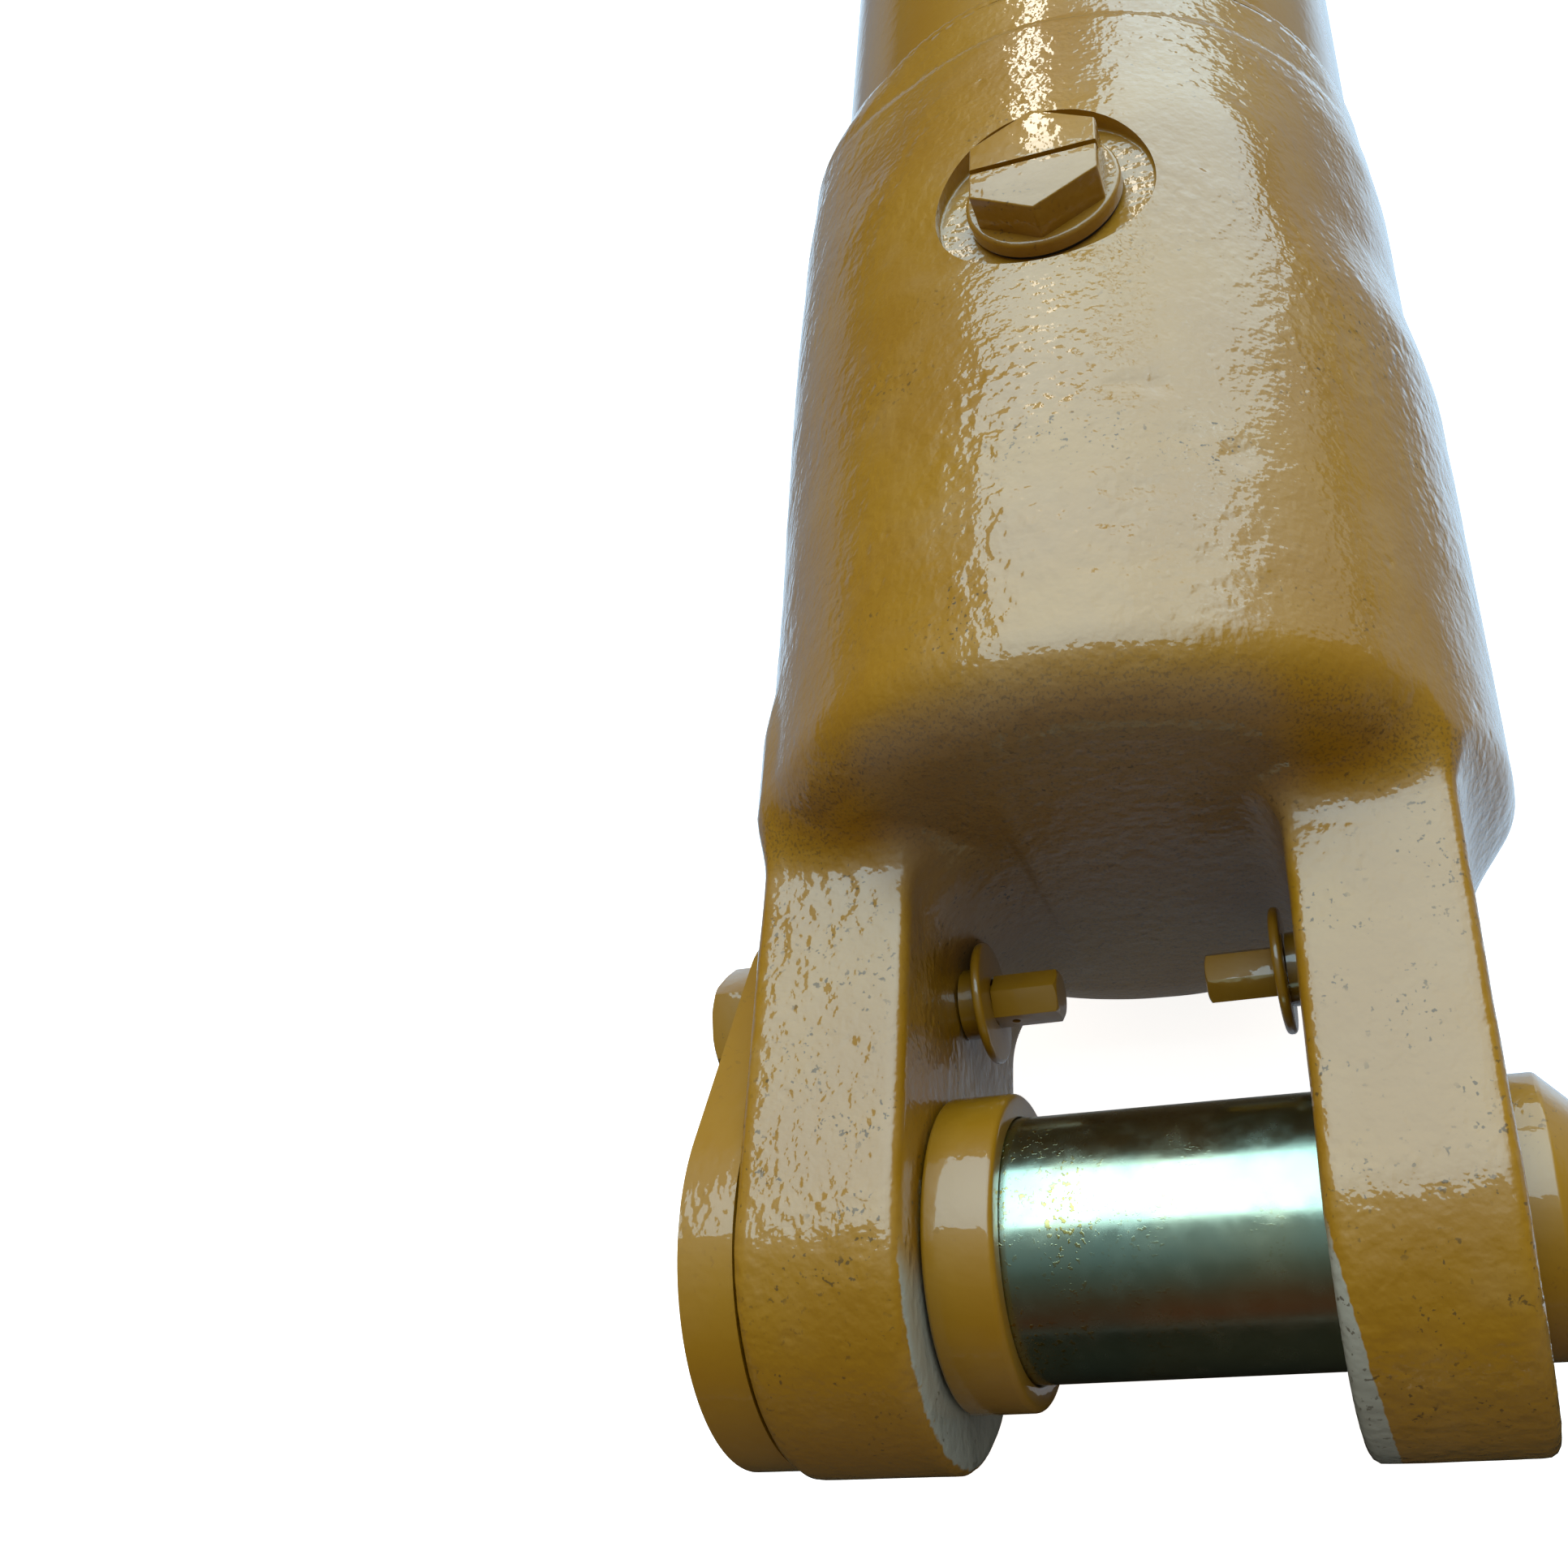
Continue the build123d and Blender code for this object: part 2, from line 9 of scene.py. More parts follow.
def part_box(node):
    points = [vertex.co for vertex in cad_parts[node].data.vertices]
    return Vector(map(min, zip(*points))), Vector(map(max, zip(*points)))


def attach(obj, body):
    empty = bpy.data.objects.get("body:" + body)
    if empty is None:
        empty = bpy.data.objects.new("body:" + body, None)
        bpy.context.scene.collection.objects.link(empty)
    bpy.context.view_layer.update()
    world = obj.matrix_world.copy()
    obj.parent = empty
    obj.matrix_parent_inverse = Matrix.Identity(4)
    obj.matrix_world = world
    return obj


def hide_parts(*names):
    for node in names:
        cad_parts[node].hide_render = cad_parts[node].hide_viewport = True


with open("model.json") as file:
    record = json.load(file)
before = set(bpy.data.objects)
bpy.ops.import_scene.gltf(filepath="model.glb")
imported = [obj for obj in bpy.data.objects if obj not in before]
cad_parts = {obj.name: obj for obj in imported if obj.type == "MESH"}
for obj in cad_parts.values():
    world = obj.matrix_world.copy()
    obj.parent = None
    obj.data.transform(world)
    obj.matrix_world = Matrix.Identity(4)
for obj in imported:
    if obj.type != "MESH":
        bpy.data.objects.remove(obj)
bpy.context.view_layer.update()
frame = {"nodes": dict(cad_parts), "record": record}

# A hydraulic cylinder with a cast clevis base. Mesh code works in millimetres:
# X along the clevis pin, Y from the base towards the rod, Z up through the port.
MM = 0.001
CLEAR = 0.05  # gap round a piece that sits in another


def box_mm(node):
    low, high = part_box(node)
    return low / MM, high / MM


# --- driving dimensions, read from the frame ---------------------------------
CASTING_LOW, CASTING_HIGH = box_mm("base_clevis")
PIN_LOW, PIN_HIGH = box_mm("clevis_pin")
PLATE_LOW, PLATE_HIGH = box_mm("pin_flag_plate")
SPACER_LOW, SPACER_HIGH = box_mm("pin_spacer")
PLUG_LOW, PLUG_HIGH = box_mm("base_port_plug")
BOLT_LOW, BOLT_HIGH = box_mm("flag_bolt")
WASHER_HIGH = box_mm("ear_stop_washers")[1]
TUBE_LOW, TUBE_HIGH = box_mm("barrel_tube")
COLLAR_WELD_LOW, COLLAR_WELD_HIGH = box_mm("collar_weld")
CASTING_WELD_LOW, CASTING_WELD_HIGH = box_mm("casting_weld")
EYE_LOW, EYE_HIGH = box_mm("rod_eye")

BODY_R = CASTING_HIGH.x
SHOULDER_Y = CASTING_HIGH.y
EAR_TIP_R = -CASTING_LOW.y
PIN_R = PIN_HIGH.z
EAR_OUTER_X = -PLATE_HIGH.x
EAR_INNER_X = box_mm("ear_stop_collars")[1].x + CLEAR
TUBE_R = TUBE_HIGH.x
PORT_X = (PLUG_LOW.x + PLUG_HIGH.x) / 2
PORT_Y = (PLUG_LOW.y + PLUG_HIGH.y) / 2
BOLT_Y = (BOLT_LOW.y + BOLT_HIGH.y) / 2

# Sizes of the casting's own shape that no box gives.
THROAT_Y = 72.5
BODY_EDGE_R = (15.0, 40.0)  # round of the throat's rim, at its top and at its bottom
BODY_EDGE_DEPTH = (0.0, 50.0)  # how far under the axis that changes
SHOULDER_EDGE_R = 1.0
EAR_EDGE_R = (3.0, 1.6)  # rounds of the ears' inner rims, likewise
EAR_EDGE_DEPTH = (-15.0, 30.0)
EAR_FACET = 1.5  # cut off those rims towards the bottom
EAR_FACET_DEPTH = (-14.0, 26.0)
EAR_FACET_R = 1.0
EAR_BLEND_R = 9.0
INNER_BLEND_R = 19.0  # the same blend on the left ear's inner side
EAR_FUSED_R = 0.5  # what is left of it where the ears have run into the block
EAR_FUSED_Y = (96.0, 122.0)
EAR_ROOT_Y = THROAT_Y + 55
EAR_END_Y = THROAT_Y + 60
CREASE_X = -15.7  # a low ridge down the throat, which reads as a crease
CREASE_Z = (-28.0, 50.0)
CREASE_HEIGHT = 0.7
CREASE_WIDTH = 1.3
DENTS = (  # x, y, half widths and depth of flaws in the cast skin
    (19.0, 145.0, 5.0, 1.8, 0.6),
    (25.2, 145.5, 1.8, 3.0, 0.7),
    (31.0, 131.5, 4.5, 1.6, 0.35),
    (38.5, 128.0, 3.0, 2.6, 0.6),
    (21.0, 118.0, 6.0, 1.4, 0.35),
)

# The block's radius, from the throat to the band at its shoulder.
TAPER_Y = (232.0, 274.0)
TAPER_SOFT = 8.0
TAPER_END_R = 76.8
BAND_R = (75.6, 74.3)
BAND_STEP = 3.0
RIGHT_SWELLS = ((-4.0, 184, 224), (-1.5, 256, 280))  # change of radius, from y to y
LEFT_R = 79.8
LEFT_SWELLS = ((1.7, 120, 215), (-1.0, 255, 280), (-3.5, 281, 295))

CAST_VOXEL = 1.5
CAST_WAVES = ((24, 0.35), (9, 0.14))  # size and depth

# Holes and faces cut into the casting.
BORE_R = 62.5
POCKET_Y = 190.0
SPOTFACE_R = 24.9
SPOTFACE_Z = 75.0
PORT_HOLE_R = 13.2
PORT_DEPTH_Z = 40.0
BOLT_HOLE_R = 8.0
BOLT_HOLE_DEPTH = 14.0
STUD_HOLE_R = 4.0
STUD_HOLE_X = 52.0

# The rod eye.
EYE_Y = 770.0
EYE_R = EYE_HIGH.y - EYE_Y
EYE_EDGE_R = 3.5
EYE_NECK_R = 41.0
EYE_NECK_EDGE_R = 5.0
EYE_BLEND_R = 14.0
EYE_WAVES = ((20, 0.25), (8, 0.12))
BUSH_R = 32.0
FITTING_SEAT_Z = 46.8
FITTING_SEAT_R = 7.0
GREASE_HOLE_R = 3.0

# Fastened pieces.
PLUG_FLATS = 28.3
PLUG_HEAD = 8.2
PLUG_COLLAR_R = 17.6
PLUG_NECK_R = 13.1
SLOT_WIDTH = 1.6
SLOT_DEPTH = 2.6
PIN_CHAMFER = 8.5
PLATE_HOLE_R = 8.7
BOLT_FLATS = 24.0
BOLT_SHANK_R = 7.9
STUD_ROOT_X = 29.6
STUD_TIP_X = 15.5
STUD_FLATS = 9.6
STUD_SHANK_R = 3.9
STUD_PINHOLE = (0.9, 4.2)  # radius, and height over the stud's root
WASHER_R = 13.0
WASHER_HOLE_R = 4.9
WASHER_HALF = 1.15


# --- small mesh tools --------------------------------------------------------
def add_object(name, mesh):
    piece = bpy.data.objects.new(name, mesh)
    bpy.context.scene.collection.objects.link(piece)
    return piece


def finish_mesh(name, mesh_edit, sharp=35.0):
    """Turns a millimetre bmesh into an object with smooth faces and crisp corners."""
    bmesh.ops.recalc_face_normals(mesh_edit, faces=mesh_edit.faces)
    bmesh.ops.scale(mesh_edit, vec=(MM, MM, MM), verts=mesh_edit.verts)
    mesh = bpy.data.meshes.new(name)
    mesh_edit.to_mesh(mesh)
    mesh_edit.free()
    smooth_faces(mesh, sharp)
    return add_object(name, mesh)


def smooth_faces(mesh, sharp):
    mesh.polygons.foreach_set("use_smooth", [True] * len(mesh.polygons))
    mesh.set_sharp_from_angle(angle=math.radians(sharp))


def apply_modifiers(piece):
    """Bakes the modifiers of a piece into its mesh."""
    graph = bpy.context.evaluated_depsgraph_get()
    mesh = bpy.data.meshes.new_from_object(piece.evaluated_get(graph))
    piece.modifiers.clear()
    old = piece.data
    piece.data = mesh
    bpy.data.meshes.remove(old)


def boolean(piece, tool, operation="DIFFERENCE"):
    """Cuts, joins or intersects with a tool, which is used up."""
    step = piece.modifiers.new("cut", "BOOLEAN")
    step.operation = operation
    step.solver = "EXACT"
    step.object = tool
    apply_modifiers(piece)
    mesh = tool.data
    bpy.data.objects.remove(tool)
    bpy.data.meshes.remove(mesh)


def rounded_outline(points, steps=5):
    """Closed outline from (a, b, radius) corners, each with its own fillet."""
    outline = []
    count = len(points)
    for index, (a, b, radius) in enumerate(points):
        here = Vector((a, b))
        before = Vector(points[index - 1][:2]) - here
        after = Vector(points[(index + 1) % count][:2]) - here
        if radius <= 0:
            outline.append(here)
            continue
        opening = before.angle(after)
        reach = radius / math.tan(opening / 2)
        centre = here + (before.normalized() + after.normalized()).normalized() * (
            radius / math.sin(opening / 2)
        )
        start = here + before.normalized() * reach - centre
        turn = start.angle_signed(here + after.normalized() * reach - centre)
        for step in range(steps + 1):
            spin = Matrix.Rotation(-turn * step / steps, 2)
            outline.append(centre + spin @ start)
    return outline


AXES = {
    "X": lambda along, radius, angle: (
        along, radius * math.cos(angle), radius * math.sin(angle)),
    "Y": lambda along, radius, angle: (
        radius * math.sin(angle), along, radius * math.cos(angle)),
    "Z": lambda along, radius, angle: (
        radius * math.cos(angle), radius * math.sin(angle), along),
}


def lathe(name, corners, axis="Y", centre=(0, 0, 0), segments=144):
    """Ring or solid turned from (along, radius, fillet) corners about an axis."""
    outline = rounded_outline(corners)
    edit = bmesh.new()
    rings = []
    for along, radius in outline:
        if radius < 1e-6:
            rings.append([edit.verts.new(AXES[axis](along, 0, 0))] * segments)
            continue
        turns = [math.tau * k / segments for k in range(segments)]
        rings.append([edit.verts.new(AXES[axis](along, radius, turn)) for turn in turns])
    for ring, following in zip(rings, rings[1:] + rings[:1]):
        for k in range(segments):
            j = (k + 1) % segments
            quad = [ring[k], ring[j], following[j], following[k]]
            corner_verts = list(dict.fromkeys(quad))
            if len(corner_verts) > 2:
                edit.faces.new(corner_verts)
    bmesh.ops.translate(edit, vec=centre, verts=edit.verts)
    return finish_mesh(name, edit)


def rod_tool(radius, start, stop, axis, centre=(0, 0, 0), segments=128):
    """Plain round bar, used to cut holes."""
    corners = [(start, 0, 0), (start, radius, 0), (stop, radius, 0), (stop, 0, 0)]
    return lathe("tool", corners, axis, centre, segments)


def extruded(name, outline, low, high, bevel, steps=3):
    """Plate of a YZ outline between two X planes, with rounded rims."""
    edit = bmesh.new()
    near = [edit.verts.new((low, y, z)) for y, z in outline]
    far = [edit.verts.new((high, y, z)) for y, z in outline]
    rims = [edit.faces.new(near), edit.faces.new(list(reversed(far)))]
    count = len(outline)
    for k in range(count):
        j = (k + 1) % count
        edit.faces.new([near[k], far[k], far[j], near[j]])
    edges = list({edge for face in rims for edge in face.edges})
    bmesh.ops.bevel(
        edit, geom=edges, offset=bevel, segments=steps, profile=0.5, affect="EDGES")
    return finish_mesh(name, edit)


def chamfer_corners(bar, across, low, high, rim):
    """Turns the corners at a hexagonal bar's top down to a 30 degree cone."""
    drop = rim * math.tan(math.radians(30))
    cone = [
        (low - 1, 0, 0), (low - 1, across + 1, 0), (high - drop, across + 0.02, 0),
        (high, across - rim, 0), (high, 0, 0),
    ]
    boolean(bar, lathe("tool", cone, "Z", segments=96), "INTERSECT")


def soften_edges(piece, width):
    step = piece.modifiers.new("soften", "BEVEL")
    step.width = width * MM
    step.segments = 3
    step.limit_method = "ANGLE"
    step.angle_limit = math.radians(25)
    apply_modifiers(piece)
    smooth_faces(piece.data, 30.0)


def hexagon(name, flats, low, high, rim, turn, bevel):
    """Hexagonal bar along Z from low to high. rim chamfers its corners at the top."""
    edit = bmesh.new()
    across = flats / math.sqrt(3)
    turns = [turn + k * math.pi / 3 for k in range(6)]
    spots = [(across * math.cos(a), across * math.sin(a)) for a in turns]
    bottom = [edit.verts.new((x, y, low)) for x, y in spots]
    top = [edit.verts.new((x, y, high)) for x, y in spots]
    edit.faces.new(bottom)
    edit.faces.new(list(reversed(top)))
    for k in range(6):
        j = (k + 1) % 6
        edit.faces.new([bottom[k], top[k], top[j], bottom[j]])
    bar = finish_mesh(name, edit)
    if rim > 0:
        chamfer_corners(bar, across, low, high, rim)
    soften_edges(bar, bevel)
    return bar


def place(piece, matrix):
    """Moves a piece's mesh, so that the object itself stays at the origin."""
    piece.data.transform(matrix)
    return piece


def shift(x, y, z):
    return Matrix.Translation(Vector((x, y, z)) * MM)


TO_MINUS_X = Matrix.Rotation(math.radians(-90), 4, "Y")
TO_PLUS_X = Matrix.Rotation(math.radians(90), 4, "Y")


# --- cast shapes: a rough mesh settled onto a formula ------------------------
def round_and(a, b, radius):
    """Both of two solids, with a convex corner of that radius."""
    beyond = np.hypot(np.maximum(a + radius, 0), np.maximum(b + radius, 0))
    return np.minimum(np.maximum(a, b), -radius) + beyond


def round_or(a, b, radius):
    """Either of two solids, with a concave corner of that radius."""
    return -round_and(-a, -b, radius)


def ease(value, start, stop):
    part = np.clip((value - start) / (stop - start), 0, 1)
    return part * part * (3 - 2 * part)


def blend_pair(pair, part):
    return pair[0] + (pair[1] - pair[0]) * part


def settle(mesh, distance, rounds=4):
    """Moves the vertices of a mesh in millimetres onto distance(points) = 0."""
    points = np.empty(len(mesh.vertices) * 3)
    mesh.vertices.foreach_get("co", points)
    points = points.reshape(-1, 3) / MM
    step = 0.05
    for _ in range(rounds):
        slope = np.stack(
            [
                (distance(points + step * side) - distance(points - step * side)) / (2 * step)
                for side in np.eye(3)
            ],
            axis=1,
        )
        size = np.maximum((slope**2).sum(1), 0.25)
        points -= slope * (distance(points) / size)[:, None]
    mesh.vertices.foreach_set("co", (points * MM).ravel())
    mesh.update()


def roughen(mesh, waves):
    """Presses shallow waves into a cast surface. waves is (size, depth) pairs."""
    count = len(mesh.vertices)
    points = np.empty(count * 3)
    normals = np.empty(count * 3)
    mesh.vertices.foreach_get("co", points)
    mesh.vertex_normals.foreach_get("vector", normals)
    points = points.reshape(-1, 3)
    depth = np.zeros(count)
    for size, amount in waves:
        scale = 1 / (size * MM)
        heights = [noise.noise(Vector(p) * scale) for p in points]
        depth += amount * (0.5 + 0.5 * np.clip(np.array(heights) * 1.4, -1, 1))
    points -= normals.reshape(-1, 3) * (depth * MM)[:, None]
    mesh.vertices.foreach_set("co", points.ravel())
    mesh.update()


def fused(name, pieces, voxel):
    """One closed skin of even quads over several overlapping solids."""
    whole = pieces[0]
    for other in pieces[1:]:
        boolean(whole, other, "UNION")
    whole.name = name
    skin = whole.modifiers.new("skin", "REMESH")
    skin.mode = "VOXEL"
    skin.voxel_size = voxel * MM
    apply_modifiers(whole)
    return whole


def flank_radius(y, radius, swells):
    """Radius along a flank that changes by each swell in turn."""
    for change, start, stop in swells:
        radius = radius + change * ease(y, start, stop)
    return radius


def top_radius(y):
    """Radius along the top, where the taper starts softly."""
    past = np.maximum(y - TAPER_Y[0], -TAPER_SOFT) + TAPER_SOFT
    soft = np.where(past < 2 * TAPER_SOFT, past**2 / (4 * TAPER_SOFT), past - TAPER_SOFT)
    return BODY_R - (BODY_R - TAPER_END_R) * soft / (TAPER_Y[1] - TAPER_Y[0])


def body_radius(x, y, z):
    """Radius of the casting's block. Its flanks run differently from its top: the right
    one draws in early, and the left one stays full up to the shoulder."""
    top = top_radius(y)
    right = flank_radius(y, BODY_R, RIGHT_SWELLS)
    left = flank_radius(y, LEFT_R, LEFT_SWELLS)
    across = x / np.maximum(np.hypot(x, z), 1)
    to_right, to_left = ease(across, 0.50, 0.95), ease(-across, 0.40, 0.85)
    cone = top + (right - top) * to_right + (left - top) * to_left
    along = np.clip((y - TAPER_Y[1]) / (SHOULDER_Y - TAPER_Y[1]), 0, 1)
    band = blend_pair((blend_pair(BAND_R, along), left), to_left)
    return blend_pair((cone, band), ease(y, TAPER_Y[1], TAPER_Y[1] + BAND_STEP))


def block_distance(x, y, z):
    """Signed distance to the round block, with the ridge in its throat."""
    around = np.hypot(x, z) - body_radius(x, y, z)
    edge = blend_pair(BODY_EDGE_R, ease(-z, *BODY_EDGE_DEPTH))
    low, high = CREASE_Z
    crease = ease(z, low - 4, low) * ease(-z, -high, 4 - high)
    crease = CREASE_HEIGHT * crease * np.exp(-(((x - CREASE_X) / CREASE_WIDTH) ** 2))
    block = round_and(around, THROAT_Y - y - crease, edge)
    return round_and(block, y - SHOULDER_Y, SHOULDER_EDGE_R)


def ears_distance(x, y, z):
    """Signed distance to the two ears, which are mirror images."""
    profile = np.where(y < 0, np.hypot(y, z), np.abs(z)) - EAR_TIP_R
    rim = blend_pair(EAR_EDGE_R, ease(-z, *EAR_EDGE_DEPTH))
    ears = round_and(profile, EAR_INNER_X - np.abs(x), rim)
    facet = EAR_FACET * ease(-z, *EAR_FACET_DEPTH)
    facet = (profile + EAR_INNER_X - np.abs(x) + facet) / math.sqrt(2)
    ears = round_and(ears, facet, EAR_FACET_R)
    ears = round_and(ears, np.abs(x) - EAR_OUTER_X, EAR_EDGE_R[0])
    return np.maximum(ears, y - EAR_END_Y)


def blend_radius(x, y, z):
    """Concave round between the block and the ears: larger on the left ear's inner side,
    and gone where the ears have run into the block."""
    left = ease(-x, 8, 20) * ease(x, -56, -44) * ease(-z, -44, -24)
    blend = blend_pair((EAR_BLEND_R, INNER_BLEND_R), left)
    return blend_pair((blend, EAR_FUSED_R), ease(y, *EAR_FUSED_Y))


def casting_distance(p):
    """Signed distance to the base casting: a round block and two ears."""
    x, y, z = p[:, 0], p[:, 1], p[:, 2]
    casting = round_or(block_distance(x, y, z), ears_distance(x, y, z), blend_radius(x, y, z))
    casting = np.maximum(casting, np.hypot(x, z) - BODY_R)
    for place_x, place_y, wide, tall, depth in DENTS:
        spot = ((x - place_x) / wide) ** 2 + ((y - place_y) / tall) ** 2
        casting = casting + depth * np.exp(-spot) * (z > 0)
    return casting


def make_casting():
    block = lathe("block", [
        (THROAT_Y, 0, 0), (THROAT_Y, BODY_R, BODY_EDGE_R[0]), (TAPER_Y[0], BODY_R, 0),
        (TAPER_Y[1], TAPER_END_R, 0), (SHOULDER_Y, BAND_R[1], 0), (SHOULDER_Y, 0, 0),
    ])
    ears = []
    for side in (-1, 1):
        low, high = sorted((side * EAR_INNER_X, side * EAR_OUTER_X))
        arc = [math.radians(angle) for angle in range(90, 271, 5)]
        outline = [(EAR_TIP_R * math.cos(a), EAR_TIP_R * math.sin(a)) for a in arc]
        outline += [(EAR_ROOT_Y, -EAR_TIP_R), (EAR_ROOT_Y, EAR_TIP_R)]
        ears.append(extruded("ear", outline, low, high, 1.0))
    casting = fused("base_casting", [block, *ears], CAST_VOXEL)
    settle(casting.data, casting_distance)
    roughen(casting.data, CAST_WAVES)
    cut_casting(casting)
    smooth_faces(casting.data, 40.0)
    return casting


def eye_distance(p):
    """Signed distance to the rod eye: a boss, and a neck towards the rod."""
    x, y, z = p[:, 0], p[:, 1], p[:, 2]
    boss = np.hypot(y - EYE_Y, z) - EYE_R
    neck = round_and(np.hypot(x, z) - EYE_NECK_R, EYE_LOW.y - y, EYE_NECK_EDGE_R)
    eye = round_or(boss, np.maximum(neck, y - EYE_Y), EYE_BLEND_R)
    return round_and(eye, np.abs(x) - EYE_HIGH.x, EYE_EDGE_R)


def make_rod_eye():
    centre = (0, EYE_Y, 0)
    boss = lathe("boss", [
        (EYE_LOW.x, 0, 0), (EYE_LOW.x, EYE_R, 3), (EYE_HIGH.x, EYE_R, 3), (EYE_HIGH.x, 0, 0),
    ], "X", centre)
    neck = rod_tool(EYE_NECK_R - 4, EYE_LOW.y, EYE_Y - 20, "Y")
    eye = fused("rod_eye_forging", [boss, neck], CAST_VOXEL)
    settle(eye.data, eye_distance)
    roughen(eye.data, EYE_WAVES)
    reach = 2 * EYE_R
    boolean(eye, rod_tool(BUSH_R + 0.02, -reach, reach, "X", centre, 160))
    boolean(eye, rod_tool(FITTING_SEAT_R, FITTING_SEAT_Z, reach, "Z", centre, 64))
    boolean(eye, rod_tool(GREASE_HOLE_R, 0, reach, "Z", centre, 48))
    smooth_faces(eye.data, 40.0)
    return eye


def make_weld(name, inner, root, across, along, beads):
    """Ring of overlapping weld beads against a step. along may point either way. The
    beads swell from 0.86 to 0.96 of the step's size, and wander a little."""
    edit = bmesh.new()
    count, arc = 6 * beads, 6
    rings = []
    for k in range(count):
        turn = math.tau * k / count
        lift = abs(math.sin(turn * beads / 2)) ** 0.6
        wander = 0.03 * noise.noise(Vector((9 * math.cos(turn), 9 * math.sin(turn), 0)))
        size = 0.86 + 0.10 * lift + wander
        section = [(root, inner)]
        for step in range(arc + 1):
            rise = math.radians(90 * step / arc)
            section.append((root + along * size * math.cos(rise),
                            inner + across * size * math.sin(rise)))
        rings.append([edit.verts.new(AXES["Y"](y, r, turn)) for y, r in section])
    for ring, following in zip(rings, rings[1:] + rings[:1]):
        for j in range(len(ring)):
            i = (j + 1) % len(ring)
            edit.faces.new([ring[j], ring[i], following[i], following[j]])
    return finish_mesh(name, edit, 50.0)


def cut_casting(casting):
    """Machined holes and faces."""
    reach = 2 * BODY_R
    beside = (0, BOLT_Y, 0)
    boolean(casting, rod_tool(PIN_R + CLEAR, -reach, reach, "X", segments=160))
    bottom = -EAR_OUTER_X + BOLT_HOLE_DEPTH
    boolean(casting, rod_tool(BOLT_HOLE_R, -reach, bottom, "X", beside, 64))
    for side in (-1, 1):
        start, stop = sorted((side * (EAR_INNER_X - 5), side * STUD_HOLE_X))
        boolean(casting, rod_tool(STUD_HOLE_R, start, stop, "X", beside, 48))
    seat_y, seat_r = TUBE_LOW.y - CLEAR, TUBE_R + CLEAR
    pocket = [
        (POCKET_Y, 0, 0), (POCKET_Y, BORE_R, 0), (seat_y, BORE_R, 0),
        (seat_y, seat_r, 0), (SHOULDER_Y + 5, seat_r, 0), (SHOULDER_Y + 5, 0, 0),
    ]
    boolean(casting, lathe("tool", pocket))
    port = (PORT_X, PORT_Y, 0)
    seat = [
        (PORT_DEPTH_Z, 0, 0), (PORT_DEPTH_Z, PORT_HOLE_R, 0), (SPOTFACE_Z, PORT_HOLE_R, 0),
        (SPOTFACE_Z, SPOTFACE_R, 0.8), (reach, SPOTFACE_R, 0), (reach, 0, 0),
    ]
    boolean(casting, lathe("tool", seat, "Z", port, 160))


# --- machined and fastened pieces --------------------------------------------
def make_plug():
    """Slotted hexagon plug on a round collar, in the spotface."""
    head = hexagon("port_plug", PLUG_FLATS, -8, PLUG_HEAD, 0, math.pi / 2, 0.45)
    half = SLOT_WIDTH / 2
    section = [(-half, -SLOT_DEPTH), (half, -SLOT_DEPTH), (half, 4), (-half, 4)]
    slot = extruded("tool", section, -2 * PLUG_NECK_R, 2 * PLUG_NECK_R, 0.2)
    place(slot, shift(0, 0, PLUG_HEAD))
    boolean(head, slot)
    collar = [
        (-12, 0, 0), (-12, PLUG_NECK_R, 0), (-3.8, PLUG_NECK_R, 0),
        (-3.8, PLUG_COLLAR_R, 0.3), (-0.2, PLUG_COLLAR_R, 1.1), (-0.2, 0, 0),
    ]
    boolean(head, lathe("collar", collar, "Z"), "UNION")
    place(head, shift(PORT_X, PORT_Y, PLUG_HIGH.z - PLUG_HEAD - CLEAR))
    smooth_faces(head.data, 30.0)
    return head


def make_pin():
    """Base pin: plated between the ears, painted where it stands out."""
    corners = [
        (PIN_LOW.x, 0, 0), (PIN_LOW.x, PIN_R, 1.2), (-EAR_INNER_X + 0.2, PIN_R, 0),
        (EAR_INNER_X + 0.2, PIN_R, 0), (PIN_HIGH.x - PIN_CHAMFER, PIN_R, 1.5),
        (PIN_HIGH.x, PIN_R - PIN_CHAMFER, 4.0), (PIN_HIGH.x, 0, 0),
    ]
    return lathe("clevis_pin_skin", corners, "X", segments=180)


def make_spacer():
    low, high = SPACER_LOW.x, SPACER_HIGH.x
    bore, outer = PIN_R + 2 * CLEAR, SPACER_HIGH.z
    corners = [(low, bore, 0.6), (low, outer, 1.0), (high, outer, 1.4), (high, bore, 0.6)]
    return lathe("spacer_ring", corners, "X", segments=160)


def plate_outline(wide, narrow, apart):
    """Two circles and their outer tangents, as (y, z) points."""
    lean = math.asin((wide - narrow) / apart)
    big = [math.pi / 2 - lean + (math.pi + 2 * lean) * k / 72 for k in range(73)]
    small = [-math.pi / 2 + lean + (math.pi - 2 * lean) * k / 40 for k in range(41)]
    outline = [(wide * math.cos(a), wide * math.sin(a)) for a in big]
    outline += [(apart + narrow * math.cos(a), narrow * math.sin(a)) for a in small]
    return outline


def make_flag_plate():
    wide = PLATE_HIGH.z
    narrow = PLATE_HIGH.y - BOLT_Y
    plate = extruded(
        "flag_plate", plate_outline(wide, narrow, BOLT_Y), PLATE_LOW.x, PLATE_HIGH.x, 1.3)
    start, stop = -100, -50  # past both faces of the plate
    boolean(plate, rod_tool(PIN_R + CLEAR, start, stop, "X", segments=160))
    boolean(plate, rod_tool(PLATE_HOLE_R, start, stop, "X", (0, BOLT_Y, 0), 64))
    smooth_faces(plate.data, 35.0)
    return plate


